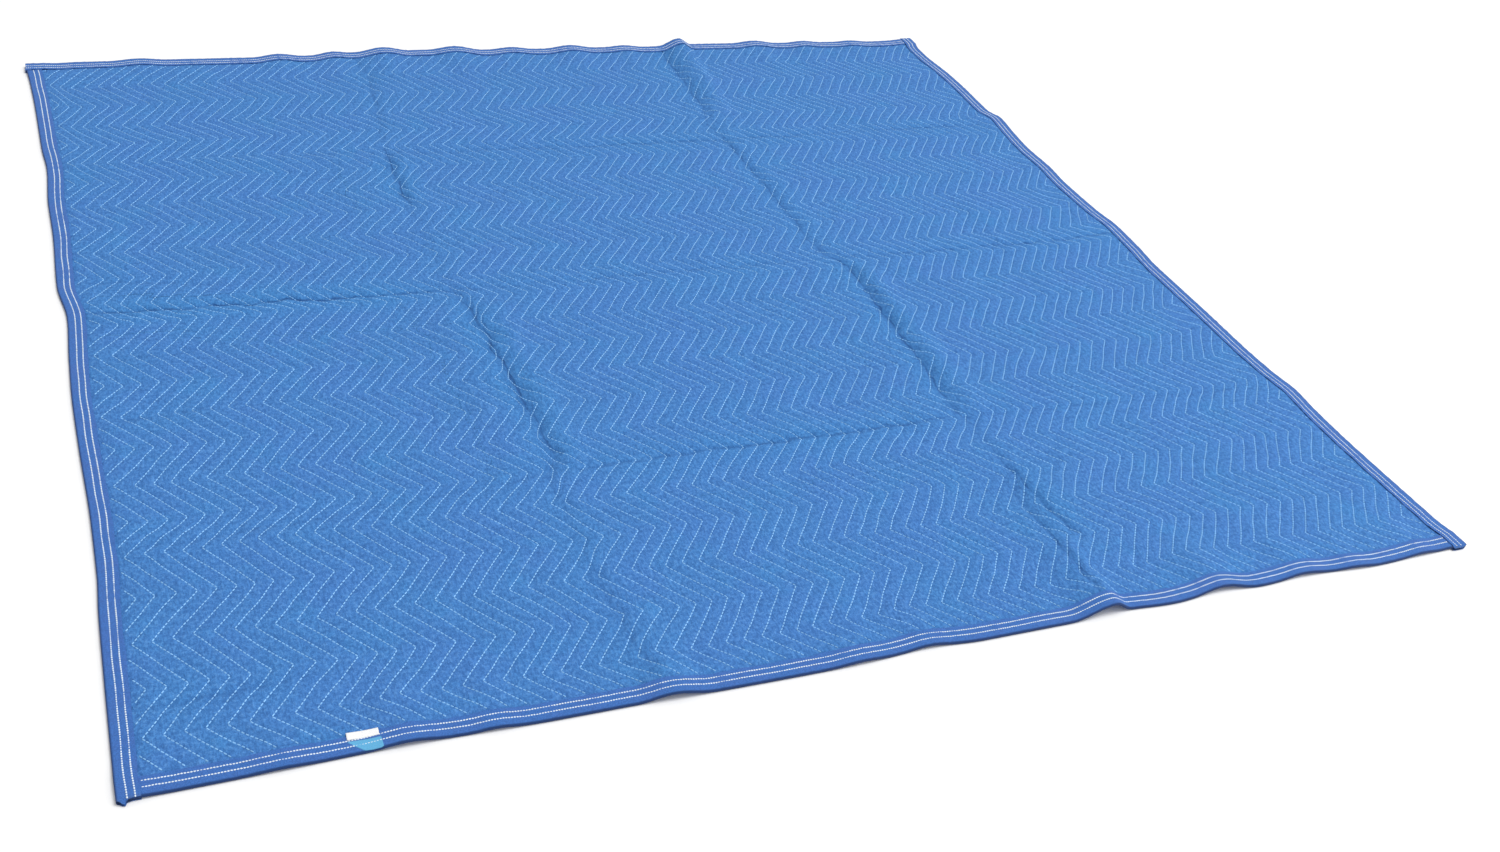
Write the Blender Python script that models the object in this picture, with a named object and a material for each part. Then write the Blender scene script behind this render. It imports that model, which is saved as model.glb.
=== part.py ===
"""Quilted moving blanket laid open on the floor, bound all round with folded tape, with a label and a tab.

Cloth coordinates, in metres: s runs across the panel from its left edge, t runs back from its front edge.
The panel is quilted in zigzag lines that run from front to back. It was folded in three across and in four
along, and the creases still show. Each function that lays cloth on the floor works in these coordinates.
"""

import math

import bmesh
import bpy
import numpy as np
from mathutils.geometry import delaunay_2d_cdt

# Driving dimensions
OUTER_WIDTH = 2.030
OUTER_DEPTH = 1.830
STITCH_PITCH = 0.02574
ZIGZAG_SWING = 0.063
ZIGZAG_HALF = 0.0753
FIRST_PEAK = 0.0823
FIRST_LINE = 0.0153

# Thickness of the quilted panel: at a stitch line, between two lines, and pressed flat under the tape
GROOVE_THICKNESS = 0.0027
PUFF_THICKNESS = 0.0050
PRESSED_THICKNESS = 0.0025
PUFF_TAPER = 0.018

# Binding tape, folded over the edge, and the clearance between two pieces
TAPE = 0.0009
GAP = 0.0003
LIP = 0.0265
NOSE = GAP + TAPE
CHAMFER = 0.0005
BAND = 0.0275
RISE_END = 0.060
RISE = TAPE + GAP
UNDER_TUCK = 0.0008

WIDTH = OUTER_WIDTH - 2 * NOSE
DEPTH = OUTER_DEPTH - 2 * NOSE

# How far in from an edge its wander and its ripples die out
WANDER_REACH = 0.250
RIPPLE_REACH = 0.150

# The edges wander off the straight: share along the edge, millimetres outwards
LEFT_WANDER = (
    (0.00, 3), (0.10, -1), (0.16, -4), (0.20, -8), (0.26, -9), (0.34, -6), (0.40, -5), (0.46, -8),
    (0.52, -13), (0.57, -4), (0.66, -8), (0.71, -7), (0.78, -12), (0.82, -8), (0.90, -6), (0.96, -2), (1.00, 3),
)
RIGHT_WANDER = (
    (0.00, 2), (0.05, -5), (0.14, -8), (0.19, -5), (0.22, 0), (0.25, -7), (0.29, -10), (0.36, -8), (0.44, -8),
    (0.48, -1), (0.525, 3), (0.56, -5), (0.62, -8), (0.66, -3), (0.70, -6), (0.74, 0), (0.78, 9), (0.80, -4),
    (0.87, 0), (0.90, -1), (0.95, -9), (0.98, -5), (1.00, 6),
)
FRONT_WANDER = (
    (0.00, 1), (0.08, 0), (0.16, -2), (0.20, 0), (0.25, 3), (0.31, 4), (0.37, 7), (0.44, 8), (0.48, 6), (0.518, 2),
    (0.56, 7), (0.63, 7), (0.67, 2), (0.72, 7), (0.765, 0), (0.80, 6), (0.84, 2), (0.91, 9), (0.95, 6), (1.00, 4),
)
BACK_WANDER = (
    (0.00, 13), (0.05, 20), (0.15, 19), (0.22, 17), (0.275, 18), (0.325, 27), (0.40, 29), (0.468, 21), (0.53, 17),
    (0.60, 15), (0.66, 11), (0.712, 17), (0.76, 15), (0.825, 9), (0.89, 6), (0.95, 2), (1.00, 9),
)

# Ripples that lift an edge off the floor: share along the edge, height in mm, half width in mm
FRONT_RIPPLES = ((0.089, 2, 50), (0.163, 5, 55), (0.218, 3, 40), (0.465, 3, 55), (0.518, 3, 45), (0.765, 7, 60),
                 (0.840, 4, 55), (0.890, 3, 45), (0.955, 3, 45))
BACK_RIPPLES = ((0.106, 4, 60), (0.244, 6, 55), (0.300, 5, 45), (0.355, 9, 62), (0.434, 8, 62), (0.497, 5, 55),
                (0.564, 7, 60), (0.628, 4, 50), (0.790, 6, 60), (0.852, 4, 50), (0.915, 3, 50))

# Creases across the blanket: knots of (share across, share along)
CROSS_CREASES = {
    "back": ((0.0, 0.796), (0.5, 0.765), (1.0, 0.773)),
    "middle": ((0.0, 0.5225), (0.33, 0.511), (1.0, 0.507)),
    "front": ((0.0, 0.2244), (0.40, 0.2457), (0.65, 0.2457), (1.0, 0.2244)),
}
# Creases along the blanket, as straight lines: share across at the front edge, share across at the back edge
LONG_CREASES = {"left": (0.3314, 0.3210), "right": (0.6717, 0.6700)}
CREASE_WIDTH = 0.012
CREASE_DEPTH_SHARE = 0.30

# Rounded folds that stand off the floor: start and end as shares across and along, the half width on each side
# in mm, and the height in mm at the start and at the end. Swells are low ones that only the upper face shows.
FOLDS = (
    {"start": (0.6950, 1.00), "end": (0.6900, 0.80), "left": 50, "right": 36, "start_high": 17, "end_high": 3},
    {"start": (0.6730, 0.00), "end": (0.6730, 0.17), "left": 60, "right": 44, "start_high": 17, "end_high": 2},
    {"start": (0.3330, 0.00), "end": (0.3300, 0.13), "left": 52, "right": 52, "start_high": 10, "end_high": 2},
)
SWELLS = (
    {"start": (0.6980, 0.27), "end": (0.6980, 0.47), "left": 40, "right": 36, "start_high": 4, "end_high": 4},
    {"start": (0.3030, 0.27), "end": (0.3080, 0.48), "left": 42, "right": 40, "start_high": 3, "end_high": 3},
    {"start": (0.3630, 0.27), "end": (0.3600, 0.48), "left": 40, "right": 42, "start_high": 3, "end_high": 3},
)
FOLD_FADE = 0.06
FOLD_SLACK = 0.0015
FOLD_CUTS = (-0.5, 0.0, 0.5)

# The lower face's sparse points: distance in from the front and back edges with every how many sections, and the
# number of cells each way in the middle
LOWER_ROWS = ((0.062, 1), (0.105, 2), (0.160, 3))
LOWER_ACROSS = 9
LOWER_ALONG = 8
FOLD_ROW_STEP = 0.045
BORDER_STEP = 0.012
FOLD_PLACES = (-1.0, -0.66, -0.33, 0.0, 0.33, 0.66, 1.0)

# Where the tape strips overlap at the corners. Each strip lies over or under its neighbour at its start and at
# its end; one that lies over reaches past the corner, further at its outer side where the end is a loose flap.
STRIPS = (
    {"name": "binding_front", "edge": "front", "start": "under", "end": "under"},
    {"name": "binding_left", "edge": "left", "start": (0.0020, 0.0060), "end": "under"},
    {"name": "binding_back", "edge": "back", "start": (0.0015, 0.0015), "end": "under"},
    {"name": "binding_right", "edge": "right", "start": (0.0040, 0.0020), "end": (0.0040, 0.0020)},
)

# Label over the front tape's inner edge, and tab on the front tape
LABEL_LEFT = 0.261
LABEL_LENGTH = 0.038
LABEL_FRONT = 0.0195
LABEL_DEPTH = 0.0115
LABEL_THICKNESS = 0.0006
TAB_LEFT = 0.263
TAB_LENGTH = 0.037
TAB_BACK = 0.0130
TAB_CUT_BACK = 0.0065
TAB_CUT_LENGTH = 0.009
TAB_THICKNESS = 0.0005

# Colours, linear RGB
PANEL_BLUE = (0.082, 0.238, 0.604, 1.0)
TAPE_BLUE = (0.068, 0.160, 0.480, 1.0)
LABEL_WHITE = (0.86, 0.88, 0.90, 1.0)
TAB_CYAN = (0.085, 0.402, 0.680, 1.0)
CLOTH_ROUGHNESS = 0.92
LABEL_ROUGHNESS = 0.6

MM = 0.001
NEAR = 1e-6

# The least room between the border and the next section, and between a small piece's end and the next section
BORDER_ROOM = 0.010
PIECE_ROOM = 0.002


def across(share):
    """The s of a share of the blanket's outer width."""
    return share * OUTER_WIDTH - NOSE


def along(share):
    """The t of a share of the blanket's outer depth."""
    return share * OUTER_DEPTH - NOSE


def eased(x):
    """A smooth step from 0 to 1."""
    x = min(max(x, 0.0), 1.0)
    return x * x * (3 - 2 * x)


def bump(x):
    """A smooth hump, 1 at x = 0 and 0 from x = 1 outwards."""
    return math.cos(math.pi / 2 * min(abs(x), 1.0)) ** 2


# Stitch pattern


def zigzag(t):
    """How far a stitch line has swung to the right at t. Under the tape the lines run straight."""
    t = min(max(t, BAND), DEPTH - BAND)
    phase = (t - FIRST_PEAK) / ZIGZAG_HALF
    return ZIGZAG_SWING * (abs((phase + 1) % 2 - 1) - 0.5)


def quilt_thickness(s, t):
    phase = (s - FIRST_LINE - zigzag(t)) / STITCH_PITCH
    rounded = 1 - abs(2 * (phase % 1) - 1)
    inward = min(s, t, WIDTH - s, DEPTH - t) - BAND
    if inward <= NEAR:
        return PRESSED_THICKNESS
    full = GROOVE_THICKNESS + (PUFF_THICKNESS - GROOVE_THICKNESS) * rounded
    full -= (full - PRESSED_THICKNESS * (1 - CREASE_DEPTH_SHARE)) * pressed_by_creases(s, t)
    return PRESSED_THICKNESS + (full - PRESSED_THICKNESS) * eased(inward / PUFF_TAPER)


def crease_t(name, s):
    """The t of a cross crease at s."""
    shares, places = zip(*CROSS_CREASES[name])
    return float(np.interp(s, [across(share) for share in shares], [along(place) for place in places]))


def crease_s(name, t):
    """The s of a long crease at t."""
    front, back = LONG_CREASES[name]
    return across(front + (back - front) * t / DEPTH)


def pressed_by_creases(s, t):
    """How strongly the nearest crease presses the cloth here, from 0 to 1."""
    near = min(abs(t - crease_t(name, s)) for name in CROSS_CREASES)
    near = min([near] + [abs(s - crease_s(name, t)) for name in LONG_CREASES])
    return math.exp(-((near / CREASE_WIDTH) ** 2))


# How the cloth lies on the floor


def wander(table, share):
    shares, places = zip(*table)
    return float(np.interp(share, shares, places)) * MM


def ripple(table, share, length):
    return sum(high * MM * bump((share - place) * length / (half * MM)) for place, high, half in table)


def fold_middle(fold, t):
    """(s of the fold's crown at t, share of the way from its start to its end)"""
    s0, t0 = across(fold["start"][0]), along(fold["start"][1])
    s1, t1 = across(fold["end"][0]), along(fold["end"][1])
    share = min(max((t - t0) / (t1 - t0), 0.0), 1.0)
    return s0 + (s1 - s0) * share, share


def fold_range(fold):
    """The lowest and highest t of a fold."""
    return sorted((along(fold["start"][1]), along(fold["end"][1])))


def fold_height(fold, s, t):
    """The height of one rounded fold, which fades out past its ends unless it runs off the cloth."""
    middle, share = fold_middle(fold, t)
    low, high = fold_range(fold)
    past = max(t - high, low - t, 0.0)
    half = (fold["left"] if s < middle else fold["right"]) * MM
    tall = (fold["start_high"] + (fold["end_high"] - fold["start_high"]) * share) * MM
    return tall * bump((s - middle) / half) * bump(past / FOLD_FADE)


def inner(s, t):
    """The nearest place outside the border, because a border lies as stiffly as its inner edge."""
    return min(max(s, BAND), WIDTH - BAND), min(max(t, BAND), DEPTH - BAND)


def border_fade(distance, reach):
    return 1 - eased((distance - BAND) / (reach - BAND))


def smooth_move(s, t):
    """(moved right, moved back, lifted off the floor, raised by the tape below the border)"""
    si, ti = inner(s, t)
    across_share, along_share = si / WIDTH, ti / DEPTH
    right = wander(RIGHT_WANDER, along_share) * border_fade(WIDTH - s, WANDER_REACH)
    right -= wander(LEFT_WANDER, along_share) * border_fade(s, WANDER_REACH)
    back = wander(BACK_WANDER, across_share) * border_fade(DEPTH - t, WANDER_REACH)
    back -= wander(FRONT_WANDER, across_share) * border_fade(t, WANDER_REACH)
    lift = ripple(FRONT_RIPPLES, across_share, OUTER_WIDTH) * border_fade(t, RIPPLE_REACH)
    lift += ripple(BACK_RIPPLES, across_share, OUTER_WIDTH) * border_fade(DEPTH - t, RIPPLE_REACH)
    lift += sum(fold_height(fold, si, ti) for fold in FOLDS)
    rise = RISE * sum(border_fade(distance, RISE_END) for distance in (s, t, WIDTH - s, DEPTH - t))
    return np.array((right, back, lift, rise))


def stations_across(t):
    """The s of each section of the front or back tape: every third half pitch, and the border's corners."""
    step = 1.5 * STITCH_PITCH
    start = FIRST_LINE + zigzag(t)
    inner_ones = [start + k * step for k in range(-5, 90)]
    inner_ones = [s for s in inner_ones if BAND + BORDER_ROOM < s < WIDTH - BAND - BORDER_ROOM]
    return [0.0, BAND] + inner_ones + [WIDTH - BAND, WIDTH]


def grid_rows():
    """The t of each row of the panel's upper face: the zigzag's corners, and the border."""
    corners = []
    t = FIRST_PEAK
    while t < DEPTH - BAND - BORDER_ROOM:
        corners.append(t)
        t += ZIGZAG_HALF
    return [0.0, BAND] + corners + [DEPTH - BAND, DEPTH]


EDGES = {
    "front": {"stations": stations_across(0.0), "length": WIDTH, "at": lambda r, d: (r, d)},
    "back": {"stations": stations_across(DEPTH), "length": WIDTH, "at": lambda r, d: (r, DEPTH - d)},
    "left": {"stations": grid_rows(), "length": DEPTH, "at": lambda r, d: (d, r)},
    "right": {"stations": grid_rows(), "length": DEPTH, "at": lambda r, d: (WIDTH - d, r)},
}
for edge in EDGES.values():
    edge["moves"] = np.array([smooth_move(*edge["at"](r, 0.0)) for r in edge["stations"]])


def border_move(name, r):
    """The move of a border, straight between its sections."""
    edge = EDGES[name]
    return np.array([np.interp(r, edge["stations"], column) for column in edge["moves"].T])


def cloth_move(s, t):
    """The move of the cloth at (s, t), which in the border is its edge's own."""
    if t <= BAND + NEAR:
        return border_move("front", s)
    if t >= DEPTH - BAND - NEAR:
        return border_move("back", s)
    if s <= BAND + NEAR:
        return border_move("left", t)
    if s >= WIDTH - BAND - NEAR:
        return border_move("right", t)
    return smooth_move(s, t)


# Quilted panel


def upper_mesh():
    """The upper face in flat cloth coordinates: a grid along the stitch lines, cut at the rim and creases."""
    rows = grid_rows()
    half = STITCH_PITCH / 2
    reach = math.ceil(ZIGZAG_SWING / half)
    columns = range(-reach, math.ceil(WIDTH / half) + reach)
    mesh = bmesh.new()
    grid = [[mesh.verts.new((FIRST_LINE + k * half + zigzag(t), t, 0)) for k in columns] for t in rows]
    for low, high in zip(grid, grid[1:]):
        for a, b, c, d in zip(low, low[1:], high[1:], high):
            mesh.faces.new((a, b, c, d))
    cut(mesh, (0, 0), (1, 0), clear="inner")
    cut(mesh, (WIDTH, 0), (1, 0), clear="outer")
    cut(mesh, (BAND, 0), (1, 0))
    cut(mesh, (WIDTH - BAND, 0), (1, 0))
    for knots in CROSS_CREASES.values():
        for (u0, v0), (u1, v1) in zip(knots, knots[1:]):
            cut_between(mesh, (across(u0), along(v0)), (across(u1), along(v1)))
    for front, back in LONG_CREASES.values():
        cut_between(mesh, (across(front), 0.0), (across(back), DEPTH))
    for fold in FOLDS:
        low, high = fold_range(fold)
        ends = [(fold_middle(fold, t)[0], t) for t in (low, high)]
        for place in FOLD_CUTS:
            offset = place * (fold["left"] if place < 0 else fold["right"]) * MM
            cut_between(mesh, *[(s + offset, t) for s, t in ends])
    bmesh.ops.triangulate(mesh, faces=mesh.faces[:])
    return mesh


def cut_between(mesh, start, end):
    """Cuts the flat mesh inside its border along the line from start to end."""
    lows = [max(min(pair), BAND) for pair in zip(start, end)]
    highs = [min(max(start[0], end[0]), WIDTH - BAND), min(max(start[1], end[1]), DEPTH - BAND)]
    axis = 0 if abs(end[0] - start[0]) > abs(end[1] - start[1]) else 1
    faces = []
    for face in mesh.faces:
        centre = face.calc_center_median()
        if lows[axis] < centre[axis] < highs[axis] and BAND < centre[1 - axis] < (DEPTH, WIDTH)[axis] - BAND:
            faces.append(face)
    cut(mesh, start, (start[1] - end[1], end[0] - start[0]), faces=faces)


def cut(mesh, point, normal, clear=None, faces=None):
    """Cuts the flat mesh, or some of its faces, along a line, and may clear what lies on one side."""
    faces = faces or mesh.faces[:]
    edges = {edge for face in faces for edge in face.edges}
    verts = {vert for face in faces for vert in face.verts}
    bmesh.ops.bisect_plane(
        mesh,
        geom=faces + list(edges) + list(verts),
        dist=NEAR,
        plane_co=(*point, 0),
        plane_no=(*normal, 0),
        clear_outer=clear == "outer",
        clear_inner=clear == "inner",
    )


def perimeter(s, t):
    """How far along the outline a border point lies, from the front left corner round by the right."""
    if t < NEAR:
        return s
    if s > WIDTH - NEAR:
        return WIDTH + t
    if t > DEPTH - NEAR:
        return 2 * WIDTH + DEPTH - s
    return 2 * WIDTH + 2 * DEPTH - t


def lower_points():
    """(points, edges, how many lie on the outline) of the lower face in flat cloth coordinates."""
    fronts, backs, sides = stations_across(0.0), stations_across(DEPTH), grid_rows()
    points, edges = [], []

    def ring(inset):
        loop = [(min(max(s, inset), WIDTH - inset), inset) for s in fronts]
        loop += [(WIDTH - inset, min(max(t, inset), DEPTH - inset)) for t in sides]
        loop += [(min(max(s, inset), WIDTH - inset), DEPTH - inset) for s in backs[::-1]]
        loop += [(inset, min(max(t, inset), DEPTH - inset)) for t in sides[::-1]]
        loop = [p for p, before in zip(loop, loop[-1:] + loop[:-1]) if math.dist(p, before) > NEAR]
        first = len(points)
        points.extend(loop)
        edges.extend((first + i, first + (i + 1) % len(loop)) for i in range(len(loop)))

    ring(0.0)
    outline = len(points)
    ring(BAND)
    for inset, skip in LOWER_ROWS:
        for stations, t in ((fronts, inset), (backs, DEPTH - inset)):
            points.extend((s, t) for s in stations[2:-2:skip] if inset < s < WIDTH - inset)
    inset = LOWER_ROWS[0][0]
    points.extend((s, t) for t in sides[2:-2] for s in (inset, WIDTH - inset))
    for k in range(1, LOWER_ACROSS):
        for m in range(1, LOWER_ALONG):
            points.append((WIDTH * k / LOWER_ACROSS, DEPTH * m / LOWER_ALONG))
    for fold in FOLDS:
        points.extend(fold_points(fold))
    return points, edges, outline


def fold_points(fold):
    """Points of the lower face on one fold: across it at its feet, flanks and crown, every few centimetres."""
    low, high = fold_range(fold)
    low = max(low - FOLD_FADE, BAND + BORDER_STEP)
    high = min(high + FOLD_FADE, DEPTH - BAND - BORDER_STEP)
    steps = round((high - low) / FOLD_ROW_STEP)
    found = []
    for k in range(steps + 1):
        t = low + (high - low) * k / steps
        middle, _ = fold_middle(fold, t)
        for place in FOLD_PLACES:
            half = (fold["left"] if place < 0 else fold["right"]) * MM
            found.append((middle + place * half, t))
    return found


def lower_height(s, t):
    """The height of the lower face: it follows the lift, a little slack inside the border, down to the floor."""
    _, _, lift, rise = cloth_move(s, t)
    inward = min(s, t, WIDTH - s, DEPTH - t) - BAND
    if inward > NEAR:
        lift = max(0.0, lift - FOLD_SLACK)
    return lift + rise


def placed(s, t, z):
    right, back, _, _ = cloth_move(s, t)
    return (s + right, t + back, z)


def upper_height(s, t):
    _, _, lift, rise = cloth_move(s, t)
    return lift + rise + sum(fold_height(swell, s, t) for swell in SWELLS) + quilt_thickness(s, t)


def zip_rings(mesh, upper, lower):
    """Joins two closed rings of (place, vertex) by triangles."""
    upper = upper + [(upper[0][0] + 2 * (WIDTH + DEPTH), upper[0][1])]
    lower = lower + [(lower[0][0] + 2 * (WIDTH + DEPTH), lower[0][1])]
    i = j = 0
    while i < len(upper) - 1 or j < len(lower) - 1:
        if j == len(lower) - 1 or (i < len(upper) - 1 and upper[i + 1][0] <= lower[j + 1][0]):
            mesh.faces.new((upper[i][1], lower[j][1], upper[i + 1][1]))
            i += 1
        else:
            mesh.faces.new((upper[i][1], lower[j][1], lower[j + 1][1]))
            j += 1


def quilted_panel():
    mesh = upper_mesh()
    rim = [v for v in mesh.verts if v.is_boundary]
    rim = sorted(((perimeter(v.co.x, v.co.y), v) for v in rim), key=lambda pair: pair[0])
    for vert in mesh.verts:
        s, t = vert.co.x, vert.co.y
        vert.co = placed(s, t, upper_height(s, t))
    points, edges, outline = lower_points()
    flat, _, faces, originals, _, _ = delaunay_2d_cdt(points, edges, [], 1, NEAR)
    verts = [mesh.verts.new(placed(p.x, p.y, lower_height(p.x, p.y))) for p in flat]
    for face in faces:
        mesh.faces.new([verts[k] for k in face])
    on_rim = [any(k < outline for k in ids) for ids in originals]
    ring = [(perimeter(p.x, p.y), v) for p, v, kept in zip(flat, verts, on_rim) if kept]
    zip_rings(mesh, rim, sorted(ring, key=lambda pair: pair[0]))
    return solid("quilted_panel", mesh)


# Folded tape binding

# The faces that close a strip's end, as places in the section: lower lip, nose and upper lip
SECTION_CAP = ((0, 1, 8, 9), (1, 2, 8), (2, 3, 7, 8), (3, 4, 7), (4, 5, 6, 7))


def tape_section(lift, rise, spread):
    """The folded tape's section as (distance in from the edge, height), round its outside and back inside."""
    under = lift + rise - GAP - spread
    over = lift + rise + PRESSED_THICKNESS + GAP + spread
    return (
        (LIP, under - TAPE),
        (CHAMFER - NOSE, under - TAPE),
        (-NOSE, under - TAPE + CHAMFER),
        (-NOSE, over + TAPE - CHAMFER),
        (CHAMFER - NOSE, over + TAPE),
        (LIP, over + TAPE),
        (LIP, over),
        (-GAP, over),
        (-GAP, under),
        (LIP, under),
    )


def tape_strip(strip):
    edge = EDGES[strip["edge"]]
    length = edge["length"]
    stations = [(r, r) for r in edge["stations"]]
    for end, sign in (("start", 1), ("end", -1)):
        k = 0 if sign > 0 else -1
        if strip[end] == "under":
            tuck = UNDER_TUCK if sign > 0 else length - UNDER_TUCK
            stations[k] = (tuck, tuck)
        else:
            outer, inner_end = strip[end]
            base = 0.0 if sign > 0 else length
            loose = (base - sign * (NOSE + outer), base - sign * (NOSE + inner_end))
            stations.insert(0 if sign > 0 else len(stations), loose)
    mesh = bmesh.new()
    rings = []
    for outer_r, inner_r in stations:
        middle = (outer_r + inner_r) / 2
        right, back, lift, rise = border_move(strip["edge"], middle)
        spread = tape_spread(strip, middle, length)
        ring = []
        for d, z in tape_section(lift, rise, spread):
            share = (d + NOSE) / (LIP + NOSE)
            r = outer_r + (inner_r - outer_r) * share
            s, t = edge["at"](r, d)
            ring.append(mesh.verts.new((s + right, t + back, z)))
        rings.append(ring)
    for one, two in zip(rings, rings[1:]):
        for k in range(len(one)):
            after = (k + 1) % len(one)
            mesh.faces.new((one[k], one[after], two[after], two[k]))
    for ring in (rings[0], rings[-1]):
        for corners in SECTION_CAP:
            mesh.faces.new([ring[k] for k in corners])
    return solid(strip["name"], mesh)


def tape_spread(strip, r, length):
    """How much wider the fold opens, above and below, where it passes over the next strip's end."""
    stations = EDGES[strip["edge"]]["stations"]
    spread = 0.0
    if strip["start"] != "under":
        spread += np.interp(r, stations, [RISE * border_fade(k, RISE_END) for k in stations])
    if strip["end"] != "under":
        spread += np.interp(r, stations, [RISE * border_fade(length - k, RISE_END) for k in stations])
    return float(spread)


# Label and tab


def over_front_tape(s):
    """The height of what is sewn on the front tape at s."""
    return cloth_move(s, 0.0)[2:].sum() + PRESSED_THICKNESS + 2 * GAP + TAPE


def thin_piece(name, outlines, thickness):
    """A thin piece sewn on the front tape, from matching front and back outlines of (s, t)."""
    mesh = bmesh.new()
    layers = []
    for extra in (0.0, thickness):
        points = [[placed(s, t, over_front_tape(s) + extra) for s, t in row] for row in outlines]
        layers.append([[mesh.verts.new(point) for point in row] for row in points])
    (front_low, back_low), (front_high, back_high) = layers
    last = len(front_low) - 1
    for k in range(last):
        mesh.faces.new((front_low[k], front_low[k + 1], back_low[k + 1], back_low[k]))
        mesh.faces.new((front_high[k], front_high[k + 1], back_high[k + 1], back_high[k]))
        mesh.faces.new((front_low[k], front_low[k + 1], front_high[k + 1], front_high[k]))
        mesh.faces.new((back_low[k], back_low[k + 1], back_high[k + 1], back_high[k]))
    for k in (0, last):
        mesh.faces.new((front_low[k], back_low[k], back_high[k], front_high[k]))
    return solid(name, mesh)


def sections_between(start, end):
    """The s of a small piece's sections: its ends and the border's stations between them."""
    inner_ones = [s for s in stations_across(0.0) if start + PIECE_ROOM < s < end - PIECE_ROOM]
    return [start] + inner_ones + [end]


def label():
    """Lies over the front tape's inner edge."""
    places = sections_between(LABEL_LEFT, LABEL_LEFT + LABEL_LENGTH)
    rows = [[(s, t) for s in places] for t in (LABEL_FRONT, LABEL_FRONT + LABEL_DEPTH)]
    return thin_piece("label", rows, LABEL_THICKNESS)


def label_tab():
    """Lies on the front tape, with its front left corner cut off."""
    places = sections_between(TAB_LEFT, TAB_LEFT + TAB_LENGTH)
    cut_end = TAB_LEFT + TAB_CUT_LENGTH
    places = sorted(set([p for p in places if p < TAB_LEFT + NEAR or p > cut_end + PIECE_ROOM] + [cut_end]))
    front = [(s, CHAMFER if s >= cut_end - NEAR else TAB_CUT_BACK) for s in places]
    return thin_piece("label_tab", [front, [(s, TAB_BACK) for s in places]], TAB_THICKNESS)


# Objects and materials


def material(name, colour, roughness):
    made = bpy.data.materials.new(name)
    made.use_nodes = True
    shader = made.node_tree.nodes["Principled BSDF"]
    shader.inputs["Base Color"].default_value = colour
    shader.inputs["Roughness"].default_value = roughness
    shader.inputs["Metallic"].default_value = 0.0
    return made


def solid(name, mesh):
    """An object from a closed mesh, triangulated, with its faces pointing out."""
    bmesh.ops.triangulate(mesh, faces=mesh.faces[:])
    bmesh.ops.recalc_face_normals(mesh, faces=mesh.faces[:])
    data = bpy.data.meshes.new(name)
    mesh.to_mesh(data)
    mesh.free()
    made = bpy.data.objects.new(name, data)
    bpy.context.scene.collection.objects.link(made)
    return made


def centre_on_floor(objects):
    """Moves the meshes so that the floor point below the middle of their common box is the origin."""
    corners = np.array([v.co for made in objects for v in made.data.vertices])
    low, high = corners.min(axis=0), corners.max(axis=0)
    middle = ((low + high) / 2)[:2]
    for made in objects:
        for vert in made.data.vertices:
            vert.co.x -= middle[0]
            vert.co.y -= middle[1]
            vert.co.z -= low[2]


def build():
    for old in list(bpy.data.objects):
        bpy.data.objects.remove(old)
    cloth = material("quilted_cloth", PANEL_BLUE, CLOTH_ROUGHNESS)
    tape = material("binding_tape", TAPE_BLUE, CLOTH_ROUGHNESS)
    white = material("label_white", LABEL_WHITE, LABEL_ROUGHNESS)
    cyan = material("tab_cyan", TAB_CYAN, LABEL_ROUGHNESS)
    panel = quilted_panel()
    strips = [tape_strip(strip) for strip in STRIPS]
    small = [label(), label_tab()]
    for made, look in zip([panel, *strips, *small], [cloth] + [tape] * len(strips) + [white, cyan]):
        made.data.materials.append(look)
    centre_on_floor([panel, *strips, *small])


build()
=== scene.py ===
"""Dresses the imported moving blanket: quilted cloth, folded tape, every stitch, the label, the tab, light and camera.

Cloth coordinates, in metres, are the ones that the solids use: s runs across the panel from its left edge and t
runs back from its front edge. The functions that lay the cloth take and give numpy arrays.
"""

import math

import bmesh
import bpy
import numpy as np
from mathutils import Euler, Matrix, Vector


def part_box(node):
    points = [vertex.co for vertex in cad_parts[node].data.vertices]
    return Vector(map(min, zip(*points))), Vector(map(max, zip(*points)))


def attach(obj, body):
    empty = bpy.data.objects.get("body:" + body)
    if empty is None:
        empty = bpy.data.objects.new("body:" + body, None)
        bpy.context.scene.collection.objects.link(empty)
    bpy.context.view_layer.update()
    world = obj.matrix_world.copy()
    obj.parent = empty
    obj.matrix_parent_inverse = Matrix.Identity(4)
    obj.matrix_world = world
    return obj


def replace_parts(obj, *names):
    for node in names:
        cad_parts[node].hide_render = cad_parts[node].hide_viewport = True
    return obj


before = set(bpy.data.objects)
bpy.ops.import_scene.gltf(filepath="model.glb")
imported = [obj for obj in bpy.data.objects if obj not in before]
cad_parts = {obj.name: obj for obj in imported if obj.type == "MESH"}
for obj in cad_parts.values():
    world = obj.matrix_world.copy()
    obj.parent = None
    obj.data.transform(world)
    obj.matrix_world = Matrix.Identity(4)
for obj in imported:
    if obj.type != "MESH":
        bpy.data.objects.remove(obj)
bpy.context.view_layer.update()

MM = 0.001
NEAR = 1e-6

# Sizes that the solids have too
OUTER_WIDTH = 2.030
OUTER_DEPTH = 1.830
STITCH_PITCH = 0.02555
ZIGZAG_SWING = 0.063
FIRST_LINE = 0.0153
TAPE = 0.0009
GAP = 0.0003
LIP = 0.0265
NOSE = GAP + TAPE
BAND = 0.0275
RISE_END = 0.060
RISE = TAPE + GAP
UNDER_TUCK = 0.0008
WIDTH = OUTER_WIDTH - 2 * NOSE
DEPTH = OUTER_DEPTH - 2 * NOSE
WANDER_REACH = 0.250
RIPPLE_REACH = 0.150
FOLD_FADE = 0.06
FOLD_SLACK = 0.0015
PUFF_TAPER = 0.018
PRESSED_THICKNESS = 0.0025
SOLID_LABEL_CORNER = (0.261, 0.0195)

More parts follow.
